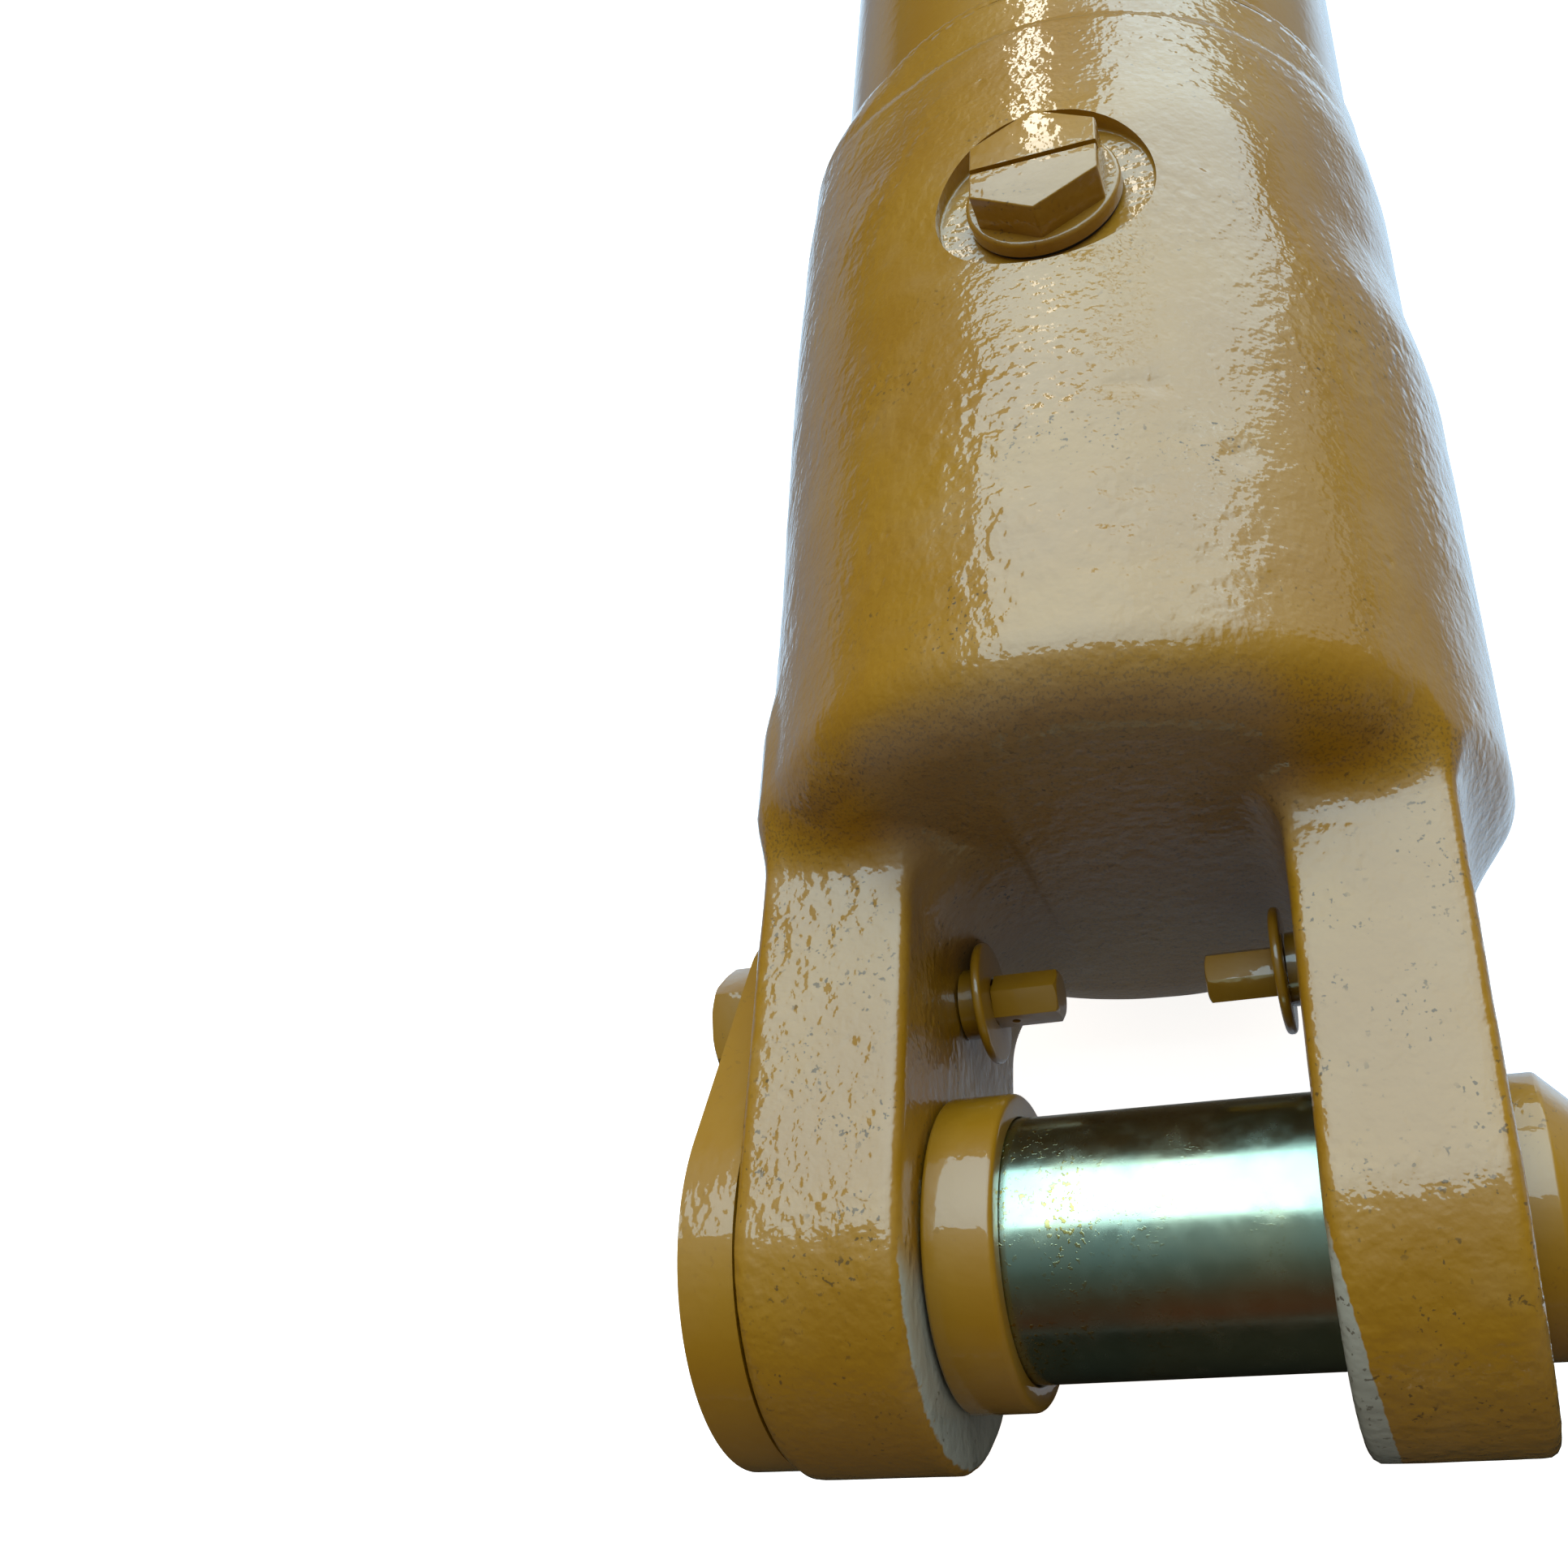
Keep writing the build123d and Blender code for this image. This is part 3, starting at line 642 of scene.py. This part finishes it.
def make_flag_bolt():
    seat = PLATE_LOW.x
    height = seat - BOLT_LOW.x - 2 * CLEAR
    head = hexagon("flag_bolt_head", BOLT_FLATS, 0, height, 1.6, math.radians(12), 0.5)
    shank = rod_tool(BOLT_SHANK_R, -BOLT_HIGH.x + seat + 0.2, 0.5, "Z", segments=48)
    boolean(head, shank, "UNION")
    place(head, shift(seat - CLEAR, BOLT_Y, 0) @ TO_MINUS_X)
    return head


def make_stud(side):
    """Hexagon-bodied stud that stands out of an ear's inner face. The left one has a
    small hole across it."""
    length = STUD_ROOT_X - STUD_TIP_X
    turn = max(side, 0) * math.pi / 6
    stud = hexagon("ear_stud", STUD_FLATS, 0, length, 1.0, turn, 0.4)
    if side < 0:
        radius, height = STUD_PINHOLE
        boolean(stud, rod_tool(radius, -20, 20, "Y", (0, 0, height), 24))
    boolean(stud, rod_tool(STUD_SHANK_R, -21, 0.5, "Z", segments=40), "UNION")
    inward = TO_MINUS_X if side > 0 else TO_PLUS_X
    place(stud, shift(side * STUD_ROOT_X, BOLT_Y, 0) @ inward)
    return stud


def make_ear_washer(side):
    """Slightly dished washer that hangs a little crooked on its stud."""
    corners = [
        (-WASHER_HALF, WASHER_HOLE_R, 0.3), (-WASHER_HALF, WASHER_R, 0.9),
        (0.9, WASHER_R, 0.9), (WASHER_HALF, WASHER_HOLE_R, 0.3),
    ]
    washer = lathe("washer", corners, "X", segments=72)
    middle = (WASHER_HIGH.x + STUD_ROOT_X + CLEAR) / 2
    lean = Matrix.Rotation(math.radians(3.2 if side < 0 else 1.5), 4, "Z")
    place(washer, shift(side * middle, BOLT_Y, 0) @ lean)
    return washer


def join(name, pieces):
    """One mesh object out of several."""
    edit = bmesh.new()
    for piece in pieces:
        edit.from_mesh(piece.data)
    mesh = bpy.data.meshes.new(name)
    edit.to_mesh(mesh)
    edit.free()
    for piece in pieces:
        old = piece.data
        bpy.data.objects.remove(piece)
        bpy.data.meshes.remove(old)
    smooth_faces(mesh, 35.0)
    return add_object(name, mesh)


# --- materials ---------------------------------------------------------------
class Nodes:
    """Short names for the shader nodes that the materials share. Noise sizes and bump
    depths are in millimetres, and places along an axis in metres."""

    def __init__(self, name):
        self.material = bpy.data.materials.new(name)
        self.material.use_nodes = True
        self.tree = self.material.node_tree
        self.shader = self.tree.nodes["Principled BSDF"]
        self.place = self.add("ShaderNodeTexCoord").outputs["Object"]

    def add(self, kind, **settings):
        node = self.tree.nodes.new(kind)
        for key, value in settings.items():
            setattr(node, key, value)
        return node

    def link(self, source, socket):
        if isinstance(source, bpy.types.NodeSocket):
            self.tree.links.new(source, socket)
        else:
            socket.default_value = source

    def set(self, **sockets):
        for key, value in sockets.items():
            self.link(value, self.shader.inputs[key.replace("_", " ")])

    def axis(self, name):
        parts = self.add("ShaderNodeSeparateXYZ")
        self.link(self.place, parts.inputs[0])
        return parts.outputs[name]

    def noise(self, size, detail=3.0, stretch=(1, 1, 1), roughness=0.5):
        """Noise whose features are about size millimetres."""
        mapping = self.add("ShaderNodeMapping")
        self.link(self.place, mapping.inputs["Vector"])
        mapping.inputs["Scale"].default_value = [s / (size * MM) for s in stretch]
        cloud = self.add("ShaderNodeTexNoise")
        self.link(mapping.outputs[0], cloud.inputs["Vector"])
        cloud.inputs["Scale"].default_value = 1.0
        cloud.inputs["Detail"].default_value = detail
        cloud.inputs["Roughness"].default_value = roughness
        return cloud.outputs["Fac"]

    def cells(self, size):
        """Distance to the nearest of scattered points about size millimetres apart."""
        cell = self.add("ShaderNodeTexVoronoi")
        self.link(self.place, cell.inputs["Vector"])
        cell.inputs["Scale"].default_value = 1 / (size * MM)
        return cell.outputs["Distance"]

    def range(self, value, low, high, to_low=0.0, to_high=1.0):
        ramp = self.add("ShaderNodeMapRange", interpolation_type="SMOOTHSTEP")
        self.link(value, ramp.inputs["Value"])
        for socket, number in zip(ramp.inputs[1:5], (low, high, to_low, to_high)):
            socket.default_value = number
        return ramp.outputs["Result"]

    def math(self, operation, a, b):
        node = self.add("ShaderNodeMath", operation=operation)
        self.link(a, node.inputs[0])
        self.link(b, node.inputs[1])
        return node.outputs[0]

    def mix(self, factor, a, b):
        node = self.add("ShaderNodeMix", data_type="RGBA")
        self.link(factor, node.inputs["Factor"])
        for socket, value in (("A_Color", a), ("B_Color", b)):
            target = next(s for s in node.inputs if s.identifier == socket)
            if not isinstance(value, bpy.types.NodeSocket):
                value = (*value, 1.0)
            self.link(value, target)
        return next(s for s in node.outputs if s.identifier == "Result_Color")

    def bump(self, height, depth, normal=None):
        """Bump whose full height range is depth millimetres."""
        node = self.add("ShaderNodeBump")
        self.link(height, node.inputs["Height"])
        node.inputs["Distance"].default_value = depth * MM
        if normal is not None:
            self.link(normal, node.inputs["Normal"])
        return node.outputs["Normal"]


PAINT_DARK = (0.262, 0.122, 0.0022)
PAINT_LIGHT = (0.290, 0.142, 0.0035)
GRIME = (0.05, 0.03, 0.012)
DUST = (0.52, 0.45, 0.33)
# painted reflection: the grey of the ground that the throat reflects
PAINTED_THROAT_REFLECTION = (0.20, 0.17, 0.14)
# painted reflection: the pale bluish grey that the ears' inner tips reflect
PAINTED_TIP_REFLECTION = (0.29, 0.32, 0.29)


def dirt_mask(n, specks, cast):
    """Specks of dirt in patches. A casting has more of them on its ears."""
    dirt = n.range(n.noise(1.2, 2), 0.63, 0.68)
    patch = n.range(n.noise(30, 4), 0.52, 0.72)
    if cast:
        settled = n.math("MULTIPLY", n.range(n.axis("Y"), 0.082, 0.062), 0.8)
        settled = n.math("MULTIPLY", settled, n.range(n.noise(10, 3), 0.44, 0.60))
        patch = n.math("MAXIMUM", patch, settled)
    return n.math("MULTIPLY", n.math("MULTIPLY", dirt, patch), specks)


def throat_reflection_and_grime(n, colour, matt):
    """Painted reflection in the throat: grey, duller paint that stands in for the ground the
    throat reflects; and grains of dirt along its rim.
    """
    across, y = n.math("ABSOLUTE", n.axis("X"), 0), n.axis("Y")
    throat = n.math("MULTIPLY", n.range(across, 0.046, 0.034), n.range(y, 0.0825, 0.0745))
    throat = n.math("MULTIPLY", throat, n.range(y, 0.050, 0.066))
    rim = n.math("MULTIPLY", n.range(y, 0.084, 0.076), n.range(y, 0.066, 0.074))
    grain = n.math("MULTIPLY", n.range(n.noise(0.6, 2), 0.50, 0.66), rim)
    colour = n.mix(n.math("MULTIPLY", grain, 0.5), colour, GRIME)
    # painted reflection: grey in the throat, for the ground it reflects
    colour = n.mix(n.math("MULTIPLY", throat, 0.35), colour, PAINTED_THROAT_REFLECTION)
    return colour, n.math("MAXIMUM", matt, n.math("MULTIPLY", throat, 0.9))


def tip_reflection_patch(n, colour):
    """Painted reflection: pale bluish grey on the ears' inner faces near their tips, standing in
    for the bright surroundings that they reflect there. On the right ear it runs out over the
    rim, and the nearer to the tip, the further."""
    x, y = n.axis("X"), n.axis("Y")
    spread = n.math("MULTIPLY", n.math("ADD", y, 0.010), 0.17)
    spread = n.math("MULTIPLY", spread, n.range(x, -0.01, 0.01))
    across = n.math("ADD", n.math("ABSOLUTE", x, 0), spread)
    across = n.math("ADD", across, n.math("MULTIPLY", n.noise(2.5, 3), 0.0012))
    limit = (EAR_INNER_X + 1.15) * MM
    dust_and_tip_reflection = n.math("MULTIPLY", n.range(across, limit + 0.0003, limit), n.range(y, -0.006, -0.016))
    # painted reflection: pale bluish grey near the ears' tips
    return n.mix(n.math("MULTIPLY", dust_and_tip_reflection, 0.8), colour, PAINTED_TIP_REFLECTION)


def paint_skin(n, lump_depth, peel_depth, cast):
    """Normal of the enamel: lumps, a few pits, ripples and fine orange peel."""
    lumps = n.bump(n.noise(13, 2, roughness=0.4), lump_depth)
    pits = n.range(n.cells(9), 0.02, 0.22)
    few = n.range(n.noise(34, 1), 0.52, 0.60)
    pitted = n.bump(n.mix(few, (1, 1, 1), pits), 0.7 * lump_depth, lumps)
    coarse = n.range(n.noise(45, 2), 0.40, 0.62, 0.30, 1.0) if cast else 0.6
    ripple = n.math("MULTIPLY", n.noise(3.4, 1.5, (1, 0.8, 1), 0.45), coarse)
    rippled = n.bump(ripple, peel_depth, pitted)
    return n.bump(n.noise(1.7, 1.5), 0.32 * peel_depth, rippled)


def paint(name, lump_depth=0.22, peel_depth=0.48, dust=0.05, specks=0.9, cast=True):
    """Glossy enamel, sprayed over a cast or turned surface."""
    n = Nodes(name)
    tone = n.range(n.noise(40, 4), 0.3, 0.7)
    colour = n.mix(tone, PAINT_DARK, PAINT_LIGHT)
    dust_and_tip_reflection = n.math("MULTIPLY", n.range(n.noise(18, 5), 0.45, 0.75), dust)
    colour = n.mix(dust_and_tip_reflection, colour, DUST)
    dirt = dirt_mask(n, specks, cast)
    matt = n.math("MULTIPLY", dirt, 0.8)
    if cast:
        # painted reflection in the throat, and dirt grains along its rim
        colour, matt = throat_reflection_and_grime(n, colour, matt)
        # painted reflection on the ears' inner faces near their tips
        colour = tip_reflection_patch(n, colour)
    colour = n.mix(dirt, colour, GRIME)
    rough = n.math("ADD", n.math("MULTIPLY", dust_and_tip_reflection, 0.5), 0.38)
    skin = paint_skin(n, lump_depth, peel_depth, cast)
    n.set(Base_Color=colour, Roughness=rough, Normal=skin, Coat_Normal=skin)
    n.set(Coat_Weight=n.math("SUBTRACT", 1.0, matt))
    n.set(Coat_Roughness=0.03, Specular_IOR_Level=0.4)
    return n.material


def zinc_plate():
    """Yellow-passivated plating on the ground pin, with drag scratches and overspray."""
    n = Nodes("zinc_yellow_plate")
    tint = n.mix(n.range(n.noise(30, 3), 0.35, 0.65), (0.36, 0.46, 0.36), (0.50, 0.50, 0.33))
    spray = n.range(n.noise(0.9, 2), 0.60, 0.64)
    spray = n.math("MULTIPLY", spray, n.range(n.noise(14, 3), 0.40, 0.60))
    spray = n.math("MULTIPLY", spray, n.range(n.axis("X"), 0.030, -0.025, 0.15, 1.0))
    tint = n.mix(spray, tint, (0.42, 0.30, 0.06))
    scratch = n.noise(0.7, 2, (0.04, 1, 1))
    turned = n.noise(0.25, 1, (1, 0.01, 0.01))
    rough = n.range(n.noise(5, 4), 0.3, 0.8, 0.17, 0.30)
    height = n.math("ADD", n.math("MULTIPLY", scratch, 0.5), turned)
    n.set(Base_Color=tint, Metallic=1.0, Roughness=rough)
    n.set(Normal=n.bump(spray, 0.03, n.bump(height, 0.004)))
    return n.material


def metal(name, colour, roughness, turned=False, spread=0.15, tarnish=0.25):
    """Bare metal. Turned metal has fine marks round the cylinder's axis."""
    n = Nodes(name)
    shade = n.range(n.noise(12, 4), 0.3, 0.7)
    dark = tuple((1 - tarnish) * c for c in colour)
    n.set(Base_Color=n.mix(shade, dark, colour), Metallic=1.0)
    n.set(Roughness=n.range(n.noise(4, 4), 0.3, 0.7, roughness, roughness + spread))
    stretch = (0.02, 1, 0.02) if turned else (1, 1, 1)
    n.set(Normal=n.bump(n.noise(0.4, 2, stretch), 0.006))
    return n.material


def rubber(name, colour, roughness=0.55):
    n = Nodes(name)
    shade = n.range(n.noise(6, 3), 0.3, 0.7)
    n.set(Base_Color=n.mix(shade, tuple(0.7 * c for c in colour), colour))
    n.set(Roughness=n.range(n.noise(2, 3), 0.3, 0.7, roughness - 0.1, roughness + 0.1))
    n.set(Normal=n.bump(n.noise(0.8, 2), 0.02))
    return n.material


def give(piece, material):
    piece.data.materials.clear()
    piece.data.materials.append(material)


# --- the camera, the floor and the light -------------------------------------
CAMERA_AT = Vector((57.5, -89.3, 305.1)) * MM
CAMERA_AIM = Vector((-10.2, 43.5, 104.3)) * MM
ROLL = math.radians(-30.94)
LENS = 36.99
FRAME_SHIFT = (-0.0952, -0.0045)
LAMP_AIM = Vector((0, 0.12, 0.07))
LAMP_DISTANCE = 2.2
SKY_EDGES = (-0.60, 0.10, 0.46, 0.60, 0.72, 0.86)  # strips of the large softbox
SKY_RADIANCE = (3.1, 2.8, 2.2, 1.4, 0.6)
SKY_BLUE = (0.60, 0.86, 1.0)
SUN_WHITE = (1.0, 0.97, 0.85)


def make_camera():
    camera = bpy.data.objects.new("camera", bpy.data.cameras.new("camera"))
    bpy.context.scene.collection.objects.link(camera)
    level = (CAMERA_AIM - CAMERA_AT).to_track_quat("-Z", "Y").to_matrix().to_4x4()
    turned = level @ Matrix.Rotation(ROLL, 4, "Z")
    camera.matrix_world = Matrix.Translation(CAMERA_AT) @ turned
    camera.data.lens = LENS
    camera.data.sensor_width = 36.0
    camera.data.shift_x, camera.data.shift_y = FRAME_SHIFT
    camera.data.clip_start = 0.01
    bpy.context.scene.camera = camera


def direction(azimuth, elevation):
    """Azimuth from +Y towards +X, elevation above the horizon."""
    a, e = math.radians(azimuth), math.radians(elevation)
    return Vector((math.sin(a) * math.cos(e), math.cos(a) * math.cos(e), math.sin(e)))


def softbox(name, azimuth, elevation, left, right, low, high, radiance, colour):
    """Rectangular lamp that faces the base casting. Its sides are tangents of the angles
    that they stand off that direction."""
    lamp = bpy.data.lights.new(name, "AREA")
    lamp.shape = "RECTANGLE"
    lamp.size, lamp.size_y = (right - left) * LAMP_DISTANCE, (high - low) * LAMP_DISTANCE
    lamp.energy = 4 * lamp.size * lamp.size_y * radiance
    lamp.color = colour
    holder = bpy.data.objects.new(name, lamp)
    bpy.context.scene.collection.objects.link(holder)
    towards = direction(azimuth, elevation)
    across = direction(azimuth + 90, 0)
    up = across.cross(towards)
    offset = across * (left + right) / 2 + up * (low + high) / 2
    holder.location = LAMP_AIM + (towards + offset) * LAMP_DISTANCE
    facing = Matrix((-across, up, towards)).transposed()
    holder.rotation_euler = facing.to_euler()
    holder.visible_camera = False


ROOM_STOPS = (  # height in the reflected room, and its colour there
    (0.0, (0.05, 0.05, 0.04, 1)),
    (0.15, (0.09, 0.035, 0.018, 1)),
    (0.45, (0.08, 0.05, 0.03, 1)),
    (0.75, (0.10, 0.12, 0.11, 1)),
    (0.97, (0.24, 0.34, 0.38, 1)),
)


def room_colour(tree, height):
    ramp = tree.nodes.new("ShaderNodeValToRGB")
    tree.links.new(height, ramp.inputs["Fac"])
    low, *between, high = ROOM_STOPS
    stops = ramp.color_ramp.elements
    for stop, (position, colour) in zip(stops, (low, high)):
        stop.position, stop.color = position, colour
    for position, colour in between:
        stops.new(position).color = colour
    return ramp.outputs["Color"]


def fill_strength(tree, forward):
    """The fill is weaker behind the camera than beyond the object."""
    falloff = tree.nodes.new("ShaderNodeMapRange")
    tree.links.new(forward, falloff.inputs["Value"])
    for socket, number in zip(falloff.inputs[1:5], (-0.8, 0.5, 0.22, 0.85)):
        socket.default_value = number
    return falloff.outputs["Result"]


def either_shader(tree, factor, first, second):
    mix = tree.nodes.new("ShaderNodeMixShader")
    for source, socket in zip((factor, first, second), mix.inputs):
        tree.links.new(source, socket)
    return mix.outputs[0]


def make_world():
    """Warm fill, a darker room that only reflections see, and a pale backdrop."""
    world = bpy.data.worlds.new("studio")
    world.use_nodes = True
    tree = world.node_tree
    look = tree.nodes.new("ShaderNodeTexCoord")
    parts = tree.nodes.new("ShaderNodeSeparateXYZ")
    tree.links.new(look.outputs["Generated"], parts.inputs[0])
    fill = tree.nodes["Background"]
    fill.inputs["Color"].default_value = (1.0, 0.84, 0.66, 1)
    tree.links.new(fill_strength(tree, parts.outputs["Y"]), fill.inputs["Strength"])
    room = tree.nodes.new("ShaderNodeBackground")
    tree.links.new(room_colour(tree, parts.outputs["Z"]), room.inputs["Color"])
    backdrop = tree.nodes.new("ShaderNodeBackground")
    backdrop.inputs["Color"].default_value = (0.93, 0.93, 0.93, 1)
    path = tree.nodes.new("ShaderNodeLightPath")
    glossy, camera = path.outputs["Is Glossy Ray"], path.outputs["Is Camera Ray"]
    unseen = either_shader(tree, glossy, fill.outputs[0], room.outputs[0])
    whole = either_shader(tree, camera, unseen, backdrop.outputs[0])
    tree.links.new(whole, tree.nodes["World Output"].inputs["Surface"])
    bpy.context.scene.world = world


def flat_card(name, low, high, height):
    edit = bmesh.new()
    corners = [(low[0], low[1]), (high[0], low[1]), (high[0], high[1]), (low[0], high[1])]
    edit.faces.new([edit.verts.new((x, y, height)) for x, y in corners])
    mesh = bpy.data.meshes.new(name)
    edit.to_mesh(mesh)
    edit.free()
    card = add_object(name, mesh)
    return card


def make_floor():
    """Pale paper on a lit table: white to look at, softer in what it throws back."""
    floor_z = CASTING_LOW.z * MM
    floor = flat_card("floor", (-6, -6), (6, 6), floor_z)
    n = Nodes("floor_paper")
    path = n.add("ShaderNodeLightPath")
    seen, mirrored = path.outputs["Is Camera Ray"], path.outputs["Is Glossy Ray"]
    beside = n.range(n.math("ABSOLUTE", n.axis("X"), 0), 0.24, 0.12)
    mirror = n.mix(beside, (0.10, 0.11, 0.13), (0.60, 0.70, 0.84))
    paper = n.mix(mirrored, (0.34, 0.36, 0.38), mirror)
    n.set(Base_Color=n.mix(seen, paper, (0.9, 0.9, 0.9)), Roughness=0.9)
    glow = n.mix(seen, (0.08, 0.09, 0.11), (0.85, 0.85, 0.85))
    n.set(Emission_Color=glow, Emission_Strength=1.0)
    n.set(Specular_IOR_Level=0.0, Normal=n.bump(n.noise(8, 3), 0.02))
    give(floor, n.material)


def make_flag():
    """Black card in front of the clevis that only reflections see: painted shade, standing in
    for the ground in shadow there.
    """
    card = flat_card("black_flag", (-1.5, -2.5), (1.5, -0.01), CASTING_LOW.z * MM + 0.002)
    n = Nodes("black_card")
    # painted shade: a black sheet for the shadowed ground in front
    n.set(Base_Color=(0.02, 0.02, 0.015, 1.0), Roughness=1.0, Specular_IOR_Level=0.0)
    give(card, n.material)
    for ray in ("camera", "diffuse", "shadow", "transmission"):
        setattr(card, "visible_" + ray, False)


def make_studio():
    make_world()
    make_floor()
    make_flag()
    for k, radiance in enumerate(SKY_RADIANCE):
        left, right = SKY_EDGES[k:k + 2]
        softbox(f"sky_{k}", 9, 62, left, right, -0.46, 0.62, radiance, SKY_BLUE)
    softbox("sky_low", 24, 20, -0.30, 0.30, -0.26, 0.28, 2.4, SKY_BLUE)
    softbox("sky_gap", -7, 26, -0.03, 0.03, -0.22, 0.18, 6.0, SUN_WHITE)
    softbox("sky_side", 54, 26, -0.24, 0.10, -0.42, 0.45, 0.5, SKY_BLUE)
    bpy.context.scene.view_settings.view_transform = "Standard"


# --- build -------------------------------------------------------------------
PAINT = paint("yellow_enamel_cast")
PAINT_FINE = paint("yellow_enamel_turned", 0.04, 0.13, dust=0.02, specks=0.6, cast=False)
PAINT_FORGED = paint("yellow_enamel_forged", 0.2, 0.36, cast=False)
PAINT_PLUG = paint("yellow_enamel_plug", 0.05, 0.30, specks=0.6, cast=False)
ZINC = zinc_plate()
CHROME = metal("hard_chrome", (0.62, 0.63, 0.65), 0.07, turned=True, spread=0.02, tarnish=0.04)
STEEL = metal("turned_steel", (0.45, 0.45, 0.46), 0.25, turned=True)
DARK_STEEL = metal("black_oxide_steel", (0.06, 0.06, 0.065), 0.35)
BRASS = metal("zinc_plated_brass", (0.55, 0.50, 0.38), 0.25)
RUBBER = rubber("black_rubber", (0.02, 0.02, 0.022))
URETHANE = rubber("polyurethane", (0.05, 0.10, 0.24), 0.4)
RESIN = rubber("guide_ring_resin", (0.16, 0.09, 0.04), 0.5)

SLOT_MATERIALS = {
    "yellow_paint": PAINT_FINE,
    "zinc_yellow": ZINC,
    "chrome": CHROME,
    "machined_steel": STEEL,
    "dark_steel": DARK_STEEL,
    "black_rubber": RUBBER,
    "polyurethane": URETHANE,
    "guide_ring_resin": RESIN,
    "brass_zinc": BRASS,
}


def dress_cad_nodes():
    """Gives every CAD node the finish of its record slot."""
    for row in frame["record"]["subparts"]:
        give(frame["nodes"][row["node"]], SLOT_MATERIALS[row["material_slot"]])


def add_piece(piece, material, body, slot, *nodes):
    give(piece, material)
    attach(piece, body)
    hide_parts(*nodes)


def build_welds_and_eye():
    inner = TUBE_R + CLEAR
    low, high = COLLAR_WELD_LOW, COLLAR_WELD_HIGH
    weld = make_weld("collar_weld_bead", inner, high.y, high.x - inner, low.y - high.y, 132)
    add_piece(weld, PAINT_FINE, "cylinder", "yellow_paint", "collar_weld")
    low, high = CASTING_WELD_LOW, CASTING_WELD_HIGH
    weld = make_weld("casting_weld_bead", inner, low.y, high.x - inner, high.y - low.y, 120)
    add_piece(weld, PAINT_FINE, "cylinder", "yellow_paint", "casting_weld")
    add_piece(make_rod_eye(), PAINT_FORGED, "rod", "yellow_paint", "rod_eye")


def build_base():
    add_piece(make_casting(), PAINT, "cylinder", "yellow_paint", "base_clevis")
    add_piece(make_plug(), PAINT_PLUG, "cylinder", "yellow_paint", "base_port_plug")
    add_piece(make_flag_plate(), PAINT_FINE, "cylinder", "yellow_paint", "pin_flag_plate")
    add_piece(make_flag_bolt(), PAINT_FINE, "cylinder", "yellow_paint", "flag_bolt")
    add_piece(make_spacer(), PAINT_FINE, "pin_spacer", "yellow_paint", "pin_spacer")
    pin = make_pin()
    add_piece(pin, ZINC, "cylinder", "zinc_yellow", "clevis_pin")
    pin.data.materials.append(PAINT_FINE)
    for face in pin.data.polygons:
        face.material_index = int(abs(face.center.x) > (EAR_INNER_X + 0.1) * MM)
    studs = join("ear_studs", [make_stud(-1), make_stud(1)])
    add_piece(studs, PAINT_FINE, "cylinder", "yellow_paint", "ear_stop_bolts")
    washers = join("ear_washers", [make_ear_washer(-1), make_ear_washer(1)])
    add_piece(washers, PAINT_FINE, "cylinder", "yellow_paint", "ear_stop_washers")


dress_cad_nodes()
build_base()
build_welds_and_eye()
make_studio()
make_camera()
